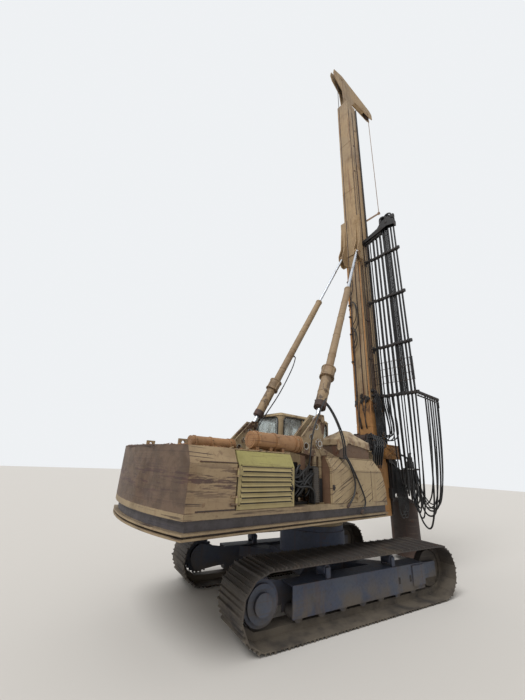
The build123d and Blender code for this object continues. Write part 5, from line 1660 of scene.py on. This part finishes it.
# start (x, y), end (x, z), how far out it hangs, how low, and its length
sideHoses = {"radius": 0.015, "rows": (
    ((2600, -330), (2380, 3980), -460, 3090, 2.20), ((2700, -400), (2440, 3900), -520, 3030, 2.28),
    ((2650, -460), (2500, 3820), -560, 3100, 2.03), ((2700, -540), (2560, 3740), -640, 3020, 2.15),
    ((2640, -600), (2620, 3940), -690, 3130, 2.14), ((2710, -680), (2680, 3900), -760, 3030, 2.34),
    ((2650, -560), (2740, 3760), -600, 3170, 1.83), ((2720, -470), (2800, 3860), -575, 3130, 2.00),
)}
for number, ((x, y), (endX, endZ), out, bottom, length) in enumerate(sideHoses["rows"], 1):
    start = [(x, y, 4238), (x, y, 4060), (x, (y + out) / 2, 3780)]
    route = loopRoute(start, (x, out), (endX, -330), bottom, [(endX, -318, endZ - 130), (endX, -276, endZ)])
    piece, path = meshHose(f"sideHose{number}", route, sideHoses["radius"], "hose_rubber")
    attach(piece, "mast")
starts = [at(2585, -1440, 4930)]
barRow("guardUprights", starts, 17, (0, 0.074, 0), (0.01, 0.01, 0.66), "dark_paint", "mast")
starts = [at(2585, -850, 4610)]
barRow("guardRails", starts, 4, (0, 0, 0.21), (0.012, 1.2, 0.012), "dark_paint", "mast")
form = bmesh.new()
for k in range(15):
    x = 2760 + k * 84
    addBox(form, at(x - 20, -1448, 4236), at(x + 20, -1372, 4304), 0.006)
addBox(form, at(3960, -1430, 4020), at(4000, -1390, 4240), 0.006)
addBox(form, at(2640, -1430, 4150), at(4010, -1410, 4190), 0.004)
for k in range(8):
    x = 2700 + k * 165
    brace = [at(x + shift, -1424, z) for shift, z in ((0, 4185), (20, 4185), (100, 4240), (80, 4240))]
    addPlate(form, brace, Vector((0, 0.01, 0)))
finishMesh("hangerLattice", form, "dark_paint", "mast")
print("hose bundle dressed")


# drill head: bolted rims, motor hoses and bright fittings
headLook = {
    "axis": 4050, "ribs": (20, 90, 160, 270, 330), "ribRing": 425, "motors": (60, 180, 300), "motorRing": 320,
}
form = bmesh.new()
for z, outer in ((2232, 0.432), (1776, 0.434)):
    addRing(form, at(headLook["axis"], 0, z), (0, 0, 1), outer, 0.41, 0.03, 40)
for angle in headLook["ribs"]:
    a = math.radians(angle)
    x, y = headLook["axis"] + headLook["ribRing"] * math.cos(a), headLook["ribRing"] * math.sin(a)
    addBox(form, at(x - 26, y - 26, 1800), at(x + 26, y + 26, 2210), 0.006)
finishMesh("gearboxRims", form, "dark_paint", "drill_head")
boltRing("drill_head", at(headLook["axis"], 0, 2244), (0, 0, 1), 0.4, 24, 1.0)
routes = []
for k, angle in enumerate(headLook["motors"]):
    a = math.radians(angle)
    x, y = headLook["axis"] + headLook["motorRing"] * math.cos(a), headLook["motorRing"] * math.sin(a)
    for shift in (-30, 30):
        endX = 3860 + shift + k * 60
        routes.append([
            at(x + shift, y, 2640), at(x + shift, y, 2760), at(x + shift - 60, y - 90, 2800),
            at(3900 + shift, -380 - k * 8, 2640), at(endX, -440, 2460), at(endX, -455, 2346),
        ])
hoseRun("motorHoses", routes, 0.016, "hose_rubber", "drill_head")
headLoops = {"radius": 0.012, "wide": 250, "y": -408, "lengths": (2.35, 2.49, 2.21, 2.35, 2.49, 2.21)}
for number, length in enumerate(headLoops["lengths"], 1):
    x, y = 2980 + number * 56, headLoops["y"]
    far, top, end = x + headLoops["wide"], 2470 - number * 20, 1900 + number * 20
    bottom = 1240 - (number % 3) * 70
    ending = [(far, y, max(end - 290, bottom + 290)), (far, y, end), (far, -268, end)]
    route = loopRoute([(x, -268, top), (x, y, top), (x, y, top - 290)], (x, y), (far, y), bottom, ending)
    piece, path = meshHose(f"headLoop{number}", route, headLoops["radius"], "hose_rubber")
    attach(piece, "drill_head")
form = bmesh.new()
for k in range(6):
    addTube(form, at(3500 + k * 48, -530, 2322), at(3500 + k * 48, -556, 2322), 0.014, 10)
addRing(form, at(headLook["axis"], 0, 1540), (0, 0, 1), 0.17, 0.15, 0.02, 32)
addTube(form, at(3640, -345, 1700), at(3640, -390, 1700), 0.03, 14)
addTube(form, at(3560, -300, 1660), at(3560, -372, 1640), 0.022, 12)
finishMesh("headFittings", form, "bare_steel", "drill_head")
print("drill head dressed")


# crawler: dark plates as painted shade in the slots of the side frames
form = bmesh.new()
for side in (-1, 1):
    for x in (950, 1270):
        corners = ((x - 24, 340), (x + 24, 340), (x + 24, 440), (x - 24, 440))
        inward = Matrix.Rotation(parkedTurn, 3, "Z") @ Vector((0, side * -0.004, 0))
        addPlate(form, [onCrawler(cornerX, side * 1334, z) for cornerX, z in corners], inward)
finishMesh("frameSlotShade", form, "dark_paint", "crawler")
print("crawler dressed")


# bolts: every place noted above, in one mesh for each body
boltLook = {
    "headRadius": 0.016, "headHeight": 0.016, "washerRadius": 0.023,
    "finish": {"upper": "tan_paint", "mast": "mast_paint", "stay_left": "stayTan", "stay_right": "stayTan"},
}
for body, places in boltPlaces.items():
    mesh = bpy.data.meshes.new(body + "BoltPlaces")
    mesh.from_pydata([tuple(p) for p, _, _ in places], [], [])
    mesh.attributes.new("facing", "FLOAT_VECTOR", "POINT")
    mesh.attributes.new("size", "FLOAT", "POINT")
    for index, (_, way, share) in enumerate(places):
        mesh.attributes["facing"].data[index].vector = way
        mesh.attributes["size"].data[index].value = share
    finish = boltLook["finish"].get(body, "dark_paint")
    values = {
        "Head Radius": boltLook["headRadius"], "Head Height": boltLook["headHeight"],
        "Washer Radius": boltLook["washerRadius"], "Material": finishes[finish],
    }
    runTree("bolts." + body, bolting, mesh, values, finish, body)
print("bolts set", sum(len(places) for places in boltPlaces.values()))
